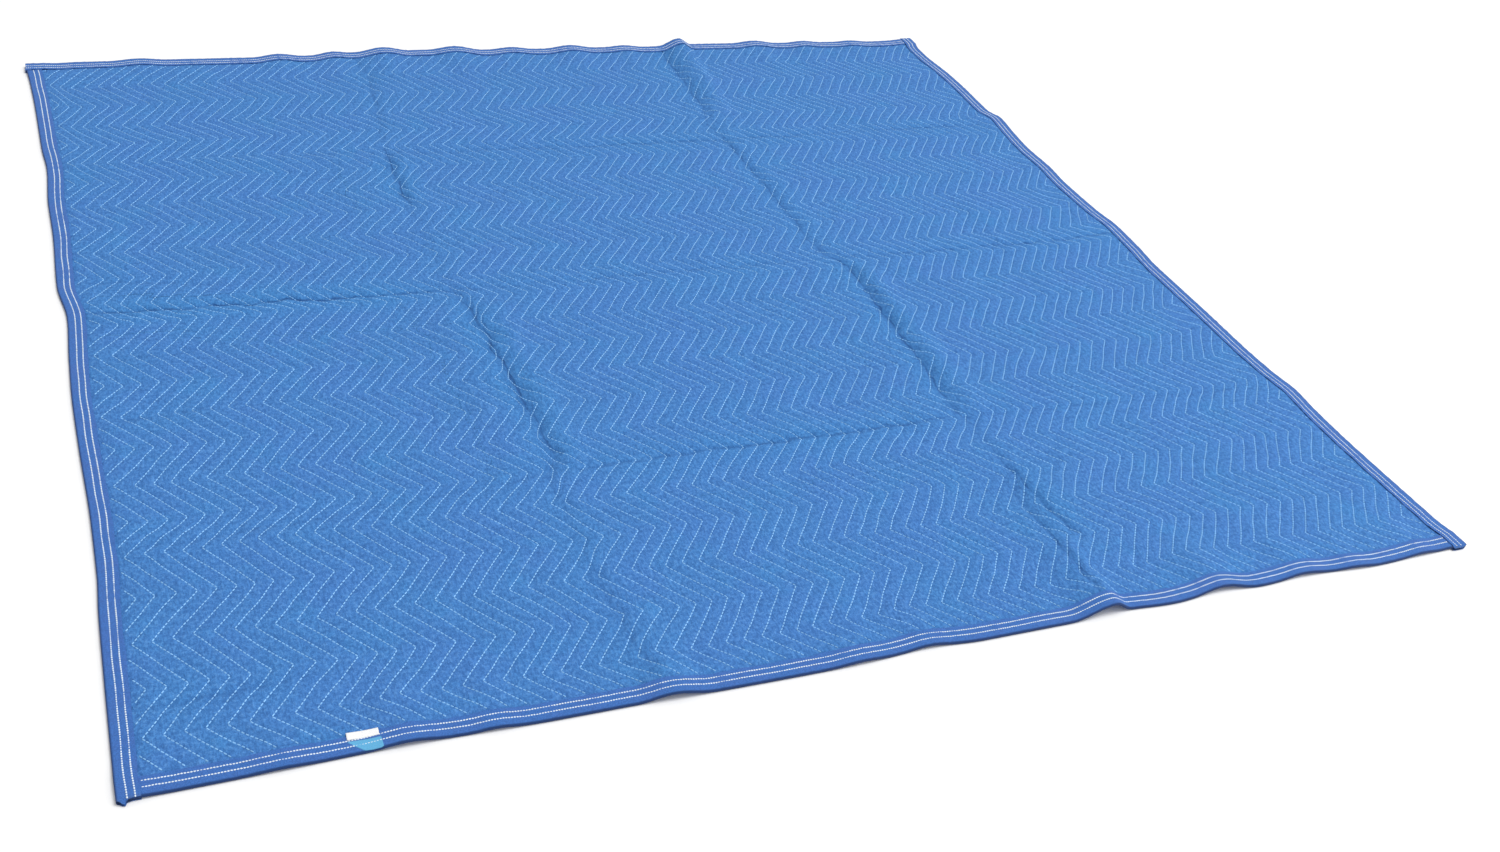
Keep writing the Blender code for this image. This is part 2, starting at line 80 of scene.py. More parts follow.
# The zigzag turns to the left and to the right by turns at these shares of the depth
TURNS = (0.0045, 0.0450, 0.0855, 0.1273, 0.1692, 0.2122, 0.2505, 0.2922, 0.3353, 0.3771, 0.4183, 0.4610, 0.5040,
         0.5410, 0.5815, 0.6220, 0.6630, 0.7040, 0.7451, 0.7870, 0.8252, 0.8659, 0.9106, 0.9508, 0.9913)

# Thickness of the dressed cloth at a stitch line, between two lines, and below the tape
GROOVE_THICKNESS = 0.0034
PUFF_THICKNESS = 0.0050
HELD_THICKNESS = 0.0021
LEAST_THICKNESS = 0.0009
PUFF_ROUND = 2.0

# The edges wander off the straight: share along the edge, millimetres outwards
LEFT_WANDER = (
    (0.00, 3), (0.10, -1), (0.16, -4), (0.20, -8), (0.26, -9), (0.34, -6), (0.40, -5), (0.46, -8),
    (0.52, -13), (0.57, -4), (0.66, -8), (0.71, -7), (0.78, -12), (0.82, -8), (0.90, -6), (0.96, -2), (1.00, 3),
)
RIGHT_WANDER = (
    (0.00, 2), (0.012, 1), (0.018, -3), (0.05, -5), (0.14, -8), (0.19, -5), (0.22, 0), (0.25, -7), (0.29, -10),
    (0.36, -8), (0.44, -8),
    (0.48, -1), (0.525, 3), (0.56, -5), (0.62, -8), (0.66, -3), (0.70, -6), (0.74, 0), (0.78, 9), (0.80, -4),
    (0.87, 0), (0.90, -1), (0.95, -9), (0.975, -8), (0.985, -3), (1.00, 6),
)
FRONT_WANDER = (
    (0.00, 1), (0.08, 0), (0.16, -2), (0.20, 0), (0.25, 3), (0.31, 4), (0.37, 7), (0.44, 8), (0.48, 6), (0.518, 2),
    (0.56, 7), (0.63, 7), (0.67, 2), (0.72, 7), (0.765, 0), (0.80, 6), (0.84, 2), (0.91, 9), (0.95, 6), (1.00, 4),
)
BACK_WANDER = (
    (0.00, 13), (0.05, 20), (0.15, 19), (0.22, 17), (0.275, 18), (0.325, 27), (0.40, 29), (0.468, 21), (0.53, 17),
    (0.60, 15), (0.66, 11), (0.712, 17), (0.76, 15), (0.825, 9), (0.89, 6), (0.95, 2), (1.00, 9),
)

# Ripples that lift an edge off the floor: share along the edge, height in mm, half width in mm
FRONT_RIPPLES = ((0.089, 2, 50), (0.163, 5, 55), (0.218, 3, 40), (0.465, 3, 55), (0.518, 3, 45), (0.765, 7, 60),
                 (0.840, 4, 55), (0.890, 3, 45), (0.955, 3, 45))
BACK_RIPPLES = ((0.106, 4, 60), (0.244, 6, 55), (0.300, 5, 45), (0.355, 9, 62), (0.434, 8, 62), (0.497, 5, 55),
                (0.564, 7, 60), (0.628, 4, 50), (0.790, 6, 60), (0.852, 4, 50), (0.915, 3, 50))

# Creases: knots of share along the crease, share of the place across it, and in mm its depth and the height of the
# brow on its low side and on its high side. The short ones are wrinkles.
CREASES = (
    ("cross", ((0.00, 0.790, 0.3, 2.2, 0.0), (0.10, 0.787, 0.3, 2.4, 0.0), (0.30, 0.775, 0.4, 1.6, 0.0),
               (0.34, 0.770, 1.0, 1.2, 0.2), (0.50, 0.767, 1.4, 1.2, 0.2), (0.63, 0.764, 2.2, 1.2, 0.2),
               (0.66, 0.764, 0.6, 0.8, 0.2), (0.70, 0.7645, 1.6, 1.0, 0.2), (0.76, 0.764, 1.3, 1.0, 0.2),
               (0.81, 0.7665, 0.5, 0.8, 0.2), (0.90, 0.7655, 1.7, 0.8, 0.2), (1.00, 0.768, 0.6, 0.8, 0.2))),
    ("cross", ((0.00, 0.5225, 1.4, 1.0, 0.3), (0.06, 0.5215, 3.9, 2.6, 0.3), (0.17, 0.5185, 4.1, 1.8, 0.3),
               (0.26, 0.5125, 3.6, 1.0, 0.5), (0.32, 0.5105, 0.7, 0.5, 0.6), (0.42, 0.5105, 0.9, 0.3, 0.8),
               (0.58, 0.5100, 1.5, 0.3, 0.8), (0.67, 0.5095, 0.5, 0.3, 0.3), (0.76, 0.5070, 1.3, 0.4, 1.0),
               (0.90, 0.5075, 2.0, 0.4, 1.2), (1.00, 0.5115, 1.6, 0.4, 0.8))),
    ("cross", ((0.00, 0.221, 0.7, 1.8, 0.0), (0.11, 0.2235, 0.8, 2.0, 0.0), (0.20, 0.229, 0.8, 1.2, 0.2),
               (0.30, 0.2405, 0.8, 0.5, 0.4), (0.35, 0.243, 1.1, 0.2, 0.8), (0.45, 0.2450, 2.5, 0.2, 2.0),
               (0.62, 0.2455, 2.4, 0.2, 1.9), (0.67, 0.2450, 0.6, 0.2, 0.7), (0.82, 0.2370, 0.7, 0.3, 0.7),
               (1.00, 0.2325, 0.7, 0.3, 0.7))),
    ("long", ((0.00, 0.3240, 0.9, 0.2, 0.4), (0.03, 0.3236, 1.1, 0.2, 0.5), (0.12, 0.3190, 1.2, 0.3, 0.5),
              (0.23, 0.3177, 1.0, 0.3, 0.5), (0.262, 0.3290, 3.0, 1.6, 1.6), (0.36, 0.3260, 3.5, 1.6, 1.8),
              (0.443, 0.3220, 3.8, 1.6, 1.8), (0.49, 0.3160, 2.4, 1.0, 1.2), (0.525, 0.3103, 0.6, 0.2, 0.4),
              (0.66, 0.3090, 0.9, 0.2, 0.5), (0.69, 0.3090, 3.6, 0.6, 1.4), (0.75, 0.3090, 3.3, 0.6, 1.2),
              (0.787, 0.3103, 0.9, 0.3, 0.6), (0.852, 0.3177, 1.3, 0.4, 0.8), (0.934, 0.3264, 1.3, 0.4, 0.8),
              (1.00, 0.3236, 1.3, 0.4, 0.8))),
    ("long", ((0.00, 0.6640, 1.2, 0.3, 0.4), (0.13, 0.6645, 1.2, 0.3, 0.5), (0.18, 0.6750, 0.8, 0.3, 0.4),
              (0.23, 0.6750, 0.9, 0.3, 0.4), (0.254, 0.6710, 2.4, 0.6, 1.4), (0.328, 0.6760, 3.0, 0.8, 1.8),
              (0.41, 0.6783, 3.3, 0.8, 1.8), (0.492, 0.6813, 3.0, 0.8, 1.6), (0.525, 0.6650, 1.3, 0.4, 0.8),
              (0.60, 0.6640, 2.2, 0.6, 1.0), (0.69, 0.6635, 2.4, 0.6, 1.2), (0.754, 0.6610, 2.0, 0.6, 1.0),
              (0.795, 0.6560, 1.3, 0.4, 0.8), (0.852, 0.6650, 2.2, 0.6, 1.2), (0.975, 0.6685, 2.8, 0.8, 1.0),
              (1.00, 0.6740, 2.8, 0.8, 1.0))),
    ("long thin", ((0.00, 0.6635, 1.6, 0.2, 0.4), (0.05, 0.6633, 2.4, 0.3, 0.6), (0.10, 0.6647, 2.0, 0.2, 0.5),
                   (0.13, 0.6630, 1.2, 0.2, 0.3), (0.19, 0.6630, 0.0, 0.0, 0.0))),
    ("long thin", ((0.08, 0.6950, 0.0, 0.0, 0.0), (0.092, 0.6875, 2.0, 0.2, 0.5), (0.123, 0.6816, 2.8, 0.3, 0.7),
                   (0.17, 0.6766, 2.2, 0.2, 0.5), (0.205, 0.6740, 0.0, 0.0, 0.0))),
    ("long", ((0.27, 0.8500, 0.0, 0.0, 0.0), (0.40, 0.8500, 0.4, 0.0, 0.4), (0.60, 0.8495, 0.4, 0.0, 0.4),
              (0.69, 0.8490, 0.0, 0.0, 0.0))),
    ("cross", ((0.01, 0.5700, 0.0, 0.0, 0.0), (0.04, 0.5690, 1.4, 0.7, 0.0), (0.10, 0.5570, 1.3, 0.6, 0.0),
               (0.15, 0.5480, 0.0, 0.0, 0.0))),
    ("cross", ((0.01, 0.4480, 0.0, 0.0, 0.0), (0.04, 0.4500, 1.2, 0.6, 0.0), (0.08, 0.4520, 1.0, 0.6, 0.0),
               (0.11, 0.4540, 0.0, 0.0, 0.0))),
    ("cross", ((0.01, 0.3700, 0.0, 0.0, 0.0), (0.04, 0.3710, 1.2, 0.6, 0.0), (0.08, 0.3740, 1.0, 0.5, 0.0),
               (0.11, 0.3760, 0.0, 0.0, 0.0))),
    ("cross", ((0.01, 0.0690, 0.0, 0.0, 0.0), (0.04, 0.0690, 1.4, 0.9, 0.0), (0.09, 0.0710, 1.2, 0.9, 0.0),
               (0.14, 0.0740, 0.0, 0.0, 0.0))),
)
# For each kind: the half width of the crease, and the place and half width of its brows
CREASE_SHAPE = {
    "cross": (0.0052, 0.020, 0.014),
    "long": (0.0120, 0.028, 0.016),
    "long thin": (0.0044, 0.018, 0.012),
}
# How far a crease strays from its smooth line, the length of that, and how uneven its depth is
CREASE_RAGGED = 0.0022
CREASE_RAGGED_LENGTH = 0.050
CREASE_UNEVEN = 0.30
# A crease this deep draws the cloth in beside it by this much
PINCH = 0.0026
PINCH_WIDTH = 0.020
PINCH_DEEP = 0.003
# A crease slighter than the first gets no line of painted shade, and one as deep as the second a full one
SLIGHT = 0.0005
CREASE_FULL = 0.0036
FAR_OFF = 0.1

# How each part of the cloth between its creases lies off the pattern. In mm: to the right and back at its middle,
# how much more of each there is at its right side than at its left, and at its back than at its front.
PARTS = (
    ((-0.5, -4, 6, -12, 8, 3), (0, -8.5, 1, -2, -3, -4), (-0.5, -2, -6, -4, 0, -5)),
    ((6, -5.5, 7, -4, 2, 1), (-0.5, -12, 4, -9, -2, -3), (-3, -10, -7, -11, 0, 0)),
    ((1, -6.5, 6, 5, 0, 15), (-3, -10, 0, -6, -4, 12), (-1.5, -9, -5, -14, 0, 10)),
    ((-8, -8, 8, 12, -16, -11), (-6.5, -9.5, 3, -7, -8, -14), (-3, -7.5, -2, -11, -8, -10)),
)
PARTS_ACROSS = (0.0, 0.322, 0.671, 1.0)
PARTS_ALONG = (0.0, 0.236, 0.513, 0.770, 1.0)
PARTS_BLEND = 0.015
DRIFT_FADE = 0.06

# Rounded folds that stand off the floor, and low swells of the upper face: start and end as shares across and
# along, the half width on each side in mm, and the height in mm at the start and at the end
FOLDS = (
    {"start": (0.6950, 1.00), "end": (0.6840, 0.80), "left": 50, "right": 36, "start_high": 17, "end_high": 3},
    {"start": (0.6665, 0.00), "end": (0.6700, 0.10), "left": 74, "right": 34, "start_high": 17, "end_high": 2},
    {"start": (0.3330, 0.00), "end": (0.3300, 0.07), "left": 52, "right": 58, "start_high": 10, "end_high": 2},
)
SWELLS = (
    {"start": (0.6940, 0.27), "end": (0.6960, 0.47), "left": 34, "right": 40, "start_high": 4, "end_high": 5},
    {"start": (0.2970, 0.27), "end": (0.2970, 0.48), "left": 44, "right": 38, "start_high": 3, "end_high": 3},
    {"start": (0.3480, 0.27), "end": (0.3440, 0.48), "left": 32, "right": 38, "start_high": 3, "end_high": 3},
)

# Slack in the cloth, as soft waves of (length, how far they shift it along the floor) and (length, how high they
# raise it). The shift starts this far inside the border.
SWAY = ((0.150, 0.0013), (0.050, 0.0004))
SWAY_START = 0.05
SLACK = ((0.110, 0.0006), (0.042, 0.00025))
WAVES = 7

# The fine cloth: places of its points between two stitch lines, rows of them from one turn to the next, and how
# near a crease of enough strength its faces are halved
UPPER_PHASES = (0.0, 0.17, 0.5, 0.83)
UPPER_ROWS = 9
LOWER_PHASES = (0.0, 0.5)
LOWER_ROWS = 2
LOWER_GROOVE = 0.0004
FINE_REACH = 0.016
FINE_STRENGTH = 0.1
FINE_START = 0.005
TURN_CLEAR = 0.01

# Quilting stitches
QUILT_STITCHES = 16
STITCH_MARGIN = 0.0012
STITCH_RAISE = 0.0003
QUILT_THREAD = {"half_width": 0.00088, "height": 0.00078, "gap": 0.07, "rings": (0.25, 0.75)}
TURN_ROUND = 0.0004
TURN_REACH = 0.003

# Stitches through the tape, in two rows: distance in from the panel's edge, how far they pull the tape in, how far
# they stray, and how far they run on past a cut end. On the underside they are pressed flat.
TAPE_ROWS = (0.0108, 0.0198)
TAPE_STITCH = 0.0036
TAPE_THREAD = {"half_width": 0.00095, "height": 0.00060, "gap": 0.05, "rings": (0.28, 0.72)}
TAPE_SUNK = 0.00035
SUNK_WIDTH = 0.0018
ROW_WANDER = 0.0004
THREAD_CLEAR = 0.0001
OVERRUN = 0.001
UNDERSIDE_UP = (0, 0, -0.2)

# The tape's section and its sections along the edge
TAPE_STEP = 0.0048
NOSE_STEPS = 5
TAPE_PUCKER = 0.00022
PUCKER_LENGTHS = (0.016, 0.011)
LIP_WANDER = 0.0005
LIP_ROUND = 0.0002

# Strips of tape. An end that lies over its neighbour is cut off ragged: share of the strip's width from its
# outer edge, millimetres past the corner.
STRIPS = (
    {"name": "binding_front", "edge": "front", "start": None, "end": None},
    {"name": "binding_left", "edge": "left", "end": None,
     "start": ((0.0, 1), (0.08, 2), (0.20, 3), (0.27, 6), (0.36, 6), (0.42, 2), (0.6, 0.3), (1.0, 0.5))},
    {"name": "binding_back", "edge": "back", "end": None,
     "start": ((0.0, 1), (0.5, 1), (0.8, 2), (1.0, 3))},
    {"name": "binding_right", "edge": "right",
     "start": ((0.0, 0.5), (0.12, 2), (0.30, 3.5), (0.9, 3.5), (1.0, 2.5)),
     "end": ((0.0, 5), (0.15, 7), (0.30, 6), (0.45, 2), (0.70, 2), (0.85, 4), (1.0, 3))},
)
END_PULL = 0.020
FLAP_CLOSE = 0.007
FLAP_CLOSED = 0.75

# Label over the tape's inner edge, and tab on the front tape, as outlines of (s, t) in mm from the outer corner
LABEL_OUTLINE = {"front": ((262, 21.5), (300.5, 20.0)), "back": ((262.5, 32.5), (301, 30.0))}
TAB_OUTLINE = {
    "front": ((262, 18.4), (268, 12.0), (279, 1.6), (288, 0.3), (299, 0.2), (302, 1.6)),
    "back": ((262, 19.0), (268, 18.8), (279, 18.2), (288, 17.6), (299, 17.0), (302, 16.6)),
}
# How far each lies off the tape, and its thickness: the tab is thin enough to show the stitches sewn over it
LABEL_LIES = {"gap": 0.00030, "thickness": 0.0005}
TAB_LIES = {"gap": 0.00006, "thickness": 0.0002}
SEWN_ON_STEPS = 8
SEWN_ON_UNEVEN = 0.3
SEWN_ON_WAVE = 0.02

# Colours, linear RGB, and the shine that every cloth has
CLOTH_SPECULAR = 0.12
PANEL_BLUE = (0.066, 0.226, 0.556)
PANEL_VIOLET = (0.069, 0.217, 0.561)
PANEL_CYAN = (0.056, 0.258, 0.590)
PANEL_DARK = (0.022, 0.084, 0.265)
PANEL_PALE = (0.200, 0.450, 0.820)
TAPE_BLUE = (0.053, 0.170, 0.505)
TAPE_VIOLET = (0.060, 0.166, 0.500)
TAPE_DARK = (0.012, 0.030, 0.110)
QUILT_THREAD_BLUE = (0.300, 0.620, 1.000)
TAPE_THREAD_WHITE = (0.820, 0.930, 1.000)
LABEL_WHITE = (0.900, 0.910, 0.920)
TAB_CYAN = (0.120, 0.420, 0.700)
FLOOR_WHITE = (0.900, 0.900, 0.900)

# Grain of the panel's cloth, in spots to the metre
BLOTCH_SPOTS = 9
PALE_SPOTS = 14
MOTTLE_SPOTS = 190
GRAIN_SPOTS = 620
FIBRE_SPOTS = 420
RAGGED_SPOTS = 60
PATCHY_SPOTS = 24

# Painted shade along the creases: half width of its dark line and of the soft band along it, how far the line strays,
# how dark both are, and the reach of the pale cloth beside the creases
CREASE_SHADE_LINE = 0.0038
CREASE_SHADE_BANDS = {"cross": 0.007, "long": 0.022}
CREASE_SHADE_STRAY = 0.012
CREASE_SHADE_DARK = 0.75
CREASE_PALE_REACH = (0.010, 0.070)

# Thread painted on the underside: half width in shares of the pitch, and the share of a stitch that shows
PAINTED_THREAD = (0.014, 0.030)
PAINTED_STITCH = (0.86, 0.90)

# The tape: pitch of its ribs, and where painted shade darkens its outer fold, as distances in from the panel's edge
RIB_PITCH = 0.0011
FOLD_SHADE = (-0.0010, 0.0022)

# How far the grain raises each surface
PANEL_RAISE = 0.0008
TAPE_RAISE = 0.0003
THREAD_RAISE = 0.0001
LABEL_RAISE = 0.0002

# Light and floor
SKY_STRENGTH = 0.66
SUN_POWER = 1.66
SUN_ANGLE = 30
SUN_TILT = 24
SOFTBOX_POWER = 22
SOFTBOX_SIZE = 2.5
SOFTBOX_PLACE = (2.7, -1.3, 1.7)
FLOOR_HALF = 15.0
FLOOR_DOWN = 0.0005

# Camera, from the perspective of the blanket's four corners, in cloth coordinates
CAMERA_PLACE = (-0.00288, -1.12184, 1.42850)
CAMERA_ANGLES = (51.7539, -7.4036, -19.8403)
CAMERA_LENS = 35.973
CAMERA_SENSOR = 36.0
CAMERA_SHIFT = 0.08745


# Small functions on arrays


def eased(x):
    x = np.clip(x, 0.0, 1.0)
    return x * x * (3 - 2 * x)


def bump(x):
    """A smooth hump, 1 at x = 0 and 0 from x = 1 outwards."""
    return np.cos(np.pi / 2 * np.minimum(np.abs(x), 1.0)) ** 2


def hump(x):
    """A bell, 1 at x = 0."""
    return np.exp(-(x**2))


def smooth_curve(x, knots):
    """A smooth curve without overshoot through knots of (place, value), at each x."""
    places, values = np.array(knots, dtype=float).T
    step = np.diff(places)
    slope = np.diff(values) / step
    product = slope[1:] * slope[:-1]
    total = np.where(product > 0, slope[1:] + slope[:-1], 1.0)
    tangent = np.concatenate((slope[:1], np.where(product > 0, 2 * product / total, 0.0), slope[-1:]))
    k = np.clip(np.searchsorted(places, x) - 1, 0, len(step) - 1)
    u = np.clip((x - places[k]) / step[k], 0.0, 1.0)
    rise = eased(u)
    leave = u * (1 - u) ** 2 * step[k] * tangent[k]
    arrive = u**2 * (u - 1) * step[k] * tangent[k + 1]
    return values[k] + (values[k + 1] - values[k]) * rise + leave + arrive


def waves(s, t, length, seed):
    """A smooth uneven field of about -1 to 1, from waves of about this length in all directions."""
    random = np.random.default_rng(seed)
    total = 0.0
    for _ in range(WAVES):
        angle, start = random.uniform(0, 2 * np.pi, 2)
        wave = length * random.uniform(0.7, 1.5)
        total = total + np.sin(2 * np.pi * (s * np.cos(angle) + t * np.sin(angle)) / wave + start)
    return total / math.sqrt(WAVES)


# Stitch pattern


def across(share):
    return share * OUTER_WIDTH - NOSE


def along(share):
    return share * OUTER_DEPTH - NOSE


TURN_PLACES = np.array([along(share) for share in TURNS])
TURN_SWINGS = ZIGZAG_SWING * (np.arange(len(TURNS)) % 2 - 0.5) * -1


def zigzag(t):
    """How far a stitch line has swung to the right at t. Its right turns are a little rounded, and under the tape
    it runs straight."""
    t = np.clip(t, BAND, DEPTH - BAND)
    rounded = sum(hump((t - place) / TURN_REACH) for place in TURN_PLACES[TURN_SWINGS > 0])
    return np.interp(t, TURN_PLACES, TURN_SWINGS) - TURN_ROUND * rounded


def line_phase(s, t):
    """The number of the stitch line at (s, t), with the share of the way to the next one."""
    return (s - FIRST_LINE - zigzag(t)) / STITCH_PITCH


def drifted(s, t):
    """Where a place of the stitch pattern lies on the cloth: the parts between the creases lie off it a little."""
    columns, rows = across(np.array(PARTS_ACROSS)), along(np.array(PARTS_ALONG))
    right = back = 0.0
    for row, (front, rear) in zip(PARTS, zip(rows, rows[1:])):
        for part, (left, far) in zip(row, zip(columns, columns[1:])):
            share = part_weight(s, left, far, WIDTH) * part_weight(t, front, rear, DEPTH)
            x = (np.clip(s, left, far) - (left + far) / 2) / (far - left)
            y = (np.clip(t, front, rear) - (front + rear) / 2) / (rear - front)
            right = right + share * (part[0] + part[2] * x + part[4] * y)
            back = back + share * (part[1] + part[3] * x + part[5] * y)
    inside = eased(inward(s, t) / DRIFT_FADE) * MM
    return s + right * inside, t + back * inside


def part_weight(place, low, high, length):
    """1 between low and high and 0 outside them, blended where another part follows."""
    weight = 1.0 + 0 * place
    if low > BAND:
        weight = weight * eased((place - low) / (2 * PARTS_BLEND) + 0.5)
    if high < length - BAND:
        weight = weight * eased((high - place) / (2 * PARTS_BLEND) + 0.5)
    return weight


# How the cloth lies on the floor


def border_fade(distance, reach):
    return 1 - eased((distance - BAND) / (reach - BAND))


def inward(s, t):
    """How far inside the border a place is."""
    return np.minimum(np.minimum(s, WIDTH - s), np.minimum(t, DEPTH - t)) - BAND


def ripple(table, share, length):
    return sum(high * MM * bump((share - place) * length / (half * MM)) for place, high, half in table)


def fold_height(fold, s, t):
    """The height of one rounded fold, which fades out past its ends unless it runs off the cloth."""
    s0, t0 = across(fold["start"][0]), along(fold["start"][1])
    s1, t1 = across(fold["end"][0]), along(fold["end"][1])
    share = np.clip((t - t0) / (t1 - t0), 0.0, 1.0)
    middle = s0 + (s1 - s0) * share
    past = np.maximum(np.maximum(t - max(t0, t1), min(t0, t1) - t), 0.0)
    half = np.where(s < middle, fold["left"], fold["right"]) * MM
    tall = (fold["start_high"] + (fold["end_high"] - fold["start_high"]) * share) * MM
    return tall * bump((s - middle) / half) * bump(past / FOLD_FADE)


def crease_offsets(s, t):
    """For each crease: its kind, how far (s, t) is past it, and its depth, low brow and high brow there."""
    found = []
    for number, (kind, knots) in enumerate(CREASES):
        run, off = (s, t) if kind == "cross" else (t, s)
        run_place, off_place = (across, along) if kind == "cross" else (along, across)
        shares, places, *heights = np.array(knots).T
        ragged = CREASE_RAGGED * waves(run, 0 * run, CREASE_RAGGED_LENGTH, 40 + number)
        middle = smooth_curve(run, list(zip(run_place(shares), off_place(places)))) + ragged
        heights = [np.interp(run, run_place(shares), column) * MM for column in heights]
        found.append((kind, off - middle, *heights))
    return found


def crease_relief(s, t):
    """How far the creases press the upper face down, less the low brow on either side of each."""
    total = 0.0
    for number, (kind, offset, depth, low, high) in enumerate(crease_offsets(s, t)):
        width, brow_place, brow_width = CREASE_SHAPE[kind]
        uneven = 1 + CREASE_UNEVEN * waves(s, t, CREASE_RAGGED_LENGTH, 60 + number)
        brows = low * hump((offset + brow_place) / brow_width) + high * hump((offset - brow_place) / brow_width)
        total = total + uneven * (depth * hump(offset / width) - brows)
    return total


def nearest_crease(s, t, wanted):
    """The signed distance to the nearest crease of a kind, and its depth there as a share of a full one's."""
    best, strength = np.full(s.shape, FAR_OFF), np.zeros(s.shape)
    for kind, offset, depth, _, _ in crease_offsets(s, t):
        if wanted in kind:
            far = np.abs(offset) + FAR_OFF * (1 - np.minimum(depth / SLIGHT, 1))
            closer = far < np.abs(best)
            best, strength = np.where(closer, offset, best), np.where(closer, depth / CREASE_FULL, strength)
    return best, np.minimum(strength, 1.0)


def lie(s, t):
    """(moved right, moved back, lifted off the floor, raised by the tape below the border) at (s, t)."""
    si = np.clip(s, BAND, WIDTH - BAND)
    ti = np.clip(t, BAND, DEPTH - BAND)
    across_share, along_share = si / WIDTH, ti / DEPTH
    right = smooth_curve(along_share, RIGHT_WANDER) * MM * border_fade(WIDTH - s, WANDER_REACH)
    right = right - smooth_curve(along_share, LEFT_WANDER) * MM * border_fade(s, WANDER_REACH)
    back = smooth_curve(across_share, BACK_WANDER) * MM * border_fade(DEPTH - t, WANDER_REACH)
    back = back - smooth_curve(across_share, FRONT_WANDER) * MM * border_fade(t, WANDER_REACH)
    inside = eased(inward(s, t) / SWAY_START)
    for number, (length, reach) in enumerate(SWAY):
        right = right + inside * reach * waves(s, t, length, 10 + number)
        back = back + inside * reach * waves(s, t, length, 20 + number)
    for kind, offset, depth, _, _ in crease_offsets(si, ti):
        pull = inside * PINCH * depth / PINCH_DEEP * offset / PINCH_WIDTH * hump(offset / PINCH_WIDTH)
        if kind == "cross":
            back = back - pull
        else:
            right = right - pull
    lift = ripple(FRONT_RIPPLES, across_share, OUTER_WIDTH) * border_fade(t, RIPPLE_REACH)
    lift = lift + ripple(BACK_RIPPLES, across_share, OUTER_WIDTH) * border_fade(DEPTH - t, RIPPLE_REACH)
    lift = lift + sum(fold_height(fold, si, ti) for fold in FOLDS)
    rise = RISE * sum(border_fade(distance, RISE_END) for distance in (s, t, WIDTH - s, DEPTH - t))
    return right, back, lift, rise


def cloth_origin():
    """Where s = 0, t = 0 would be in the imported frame, from the label's solid, which lies off the wandering edge."""
    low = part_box("label")[0]
    s, t = SOLID_LABEL_CORNER
    right, back, _, _ = lie(np.array([s]), np.array([t]))
    return np.array((low[0] - s - right[0], low[1] - t - back[0]))


ORIGIN = cloth_origin()


def placed(s, t, z):
    """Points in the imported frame, as rows, for cloth places and heights."""
    right, back, _, _ = lie(s, t)
    return np.stack((ORIGIN[0] + s + right, ORIGIN[1] + t + back, z), axis=-1)


def upper_height(s, t, phase):
    """The height of the cloth's upper face."""
    _, _, lift, rise = lie(s, t)
    rounded = 1 - np.abs(2 * (phase % 1) - 1) ** PUFF_ROUND
    full = GROOVE_THICKNESS + (PUFF_THICKNESS - GROOVE_THICKNESS) * rounded
    full = full + sum(high * waves(s, t, length, 30 + k) for k, (length, high) in enumerate(SLACK))
    full = np.maximum(full - crease_relief(s, t), LEAST_THICKNESS)
    thick = HELD_THICKNESS + (full - HELD_THICKNESS) * eased(inward(s, t) / PUFF_TAPER)
    swells = sum(fold_height(swell, s, t) for swell in SWELLS)
    return lift + rise + swells + thick


def lower_height(s, t, phase):
    """The height of the cloth's lower face, which rests on the floor between its stitch lines."""
    _, _, lift, rise = lie(s, t)
    inside = eased(inward(s, t) / PUFF_TAPER)
    groove = LOWER_GROOVE * np.abs(2 * (phase % 1) - 1) ** PUFF_ROUND
    return np.maximum(0.0, lift - FOLD_SLACK * inside) + rise + groove * inside


# Making pieces


def new_piece(name, points, faces, look, slot=None, **attributes):
    """An object from arrays or lists of points and faces, riding on the one body."""
    data = bpy.data.meshes.new(name)
    data.from_pydata(np.asarray(points).tolist(), [], faces if isinstance(faces, list) else faces.tolist())
    made = bpy.data.objects.new(name, data)
    bpy.context.scene.collection.objects.link(made)
    data.materials.append(look)
    data.shade_smooth()
    for key, values in attributes.items():
        layer = data.attributes.new(key, "FLOAT_VECTOR", "POINT")
        layer.data.foreach_set("vector", np.asarray(values, dtype=np.float32).ravel())
    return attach(made, "root")


# Quilted cloth


def flat_sheet(phases, rows_each):
    """A flat bmesh of the panel in cloth coordinates: columns along the stitch lines, cut off at its edges."""
    turns = TURN_PLACES[(TURN_PLACES > BAND + TURN_CLEAR) & (TURN_PLACES < DEPTH - BAND - TURN_CLEAR)]
    stops = [BAND, *turns, DEPTH - BAND]
    rows = [0.0, BAND / 2]
    for low, high in zip(stops, stops[1:]):
        count = max(1, round(rows_each * (high - low) / (turns[1] - turns[0])))
        rows.extend(low + (high - low) * k / count for k in range(count))
    rows.extend((DEPTH - BAND, DEPTH - BAND / 2, DEPTH))
    reach = math.ceil(ZIGZAG_SWING / STITCH_PITCH)
    lines = range(-reach, math.ceil(WIDTH / STITCH_PITCH) + reach)
    starts = np.array([FIRST_LINE + (line + phase) * STITCH_PITCH for line in lines for phase in phases])
    mesh = bmesh.new()
    grid = []
    for t in rows:
        grid.append([mesh.verts.new((s, t, 0)) for s in starts + zigzag(t)])
    for low, high in zip(grid, grid[1:]):
        for a, b, c, d in zip(low, low[1:], high[1:], high):
            if b.co.x > 0 and a.co.x < WIDTH or c.co.x > 0 and d.co.x < WIDTH:
                mesh.faces.new((a, b, c, d))
    for vert in [vert for vert in mesh.verts if not vert.link_faces]:
        mesh.verts.remove(vert)
    cut(mesh, (0, 0), (1, 0), clear="inner")
    cut(mesh, (WIDTH, 0), (1, 0), clear="outer")
    return mesh


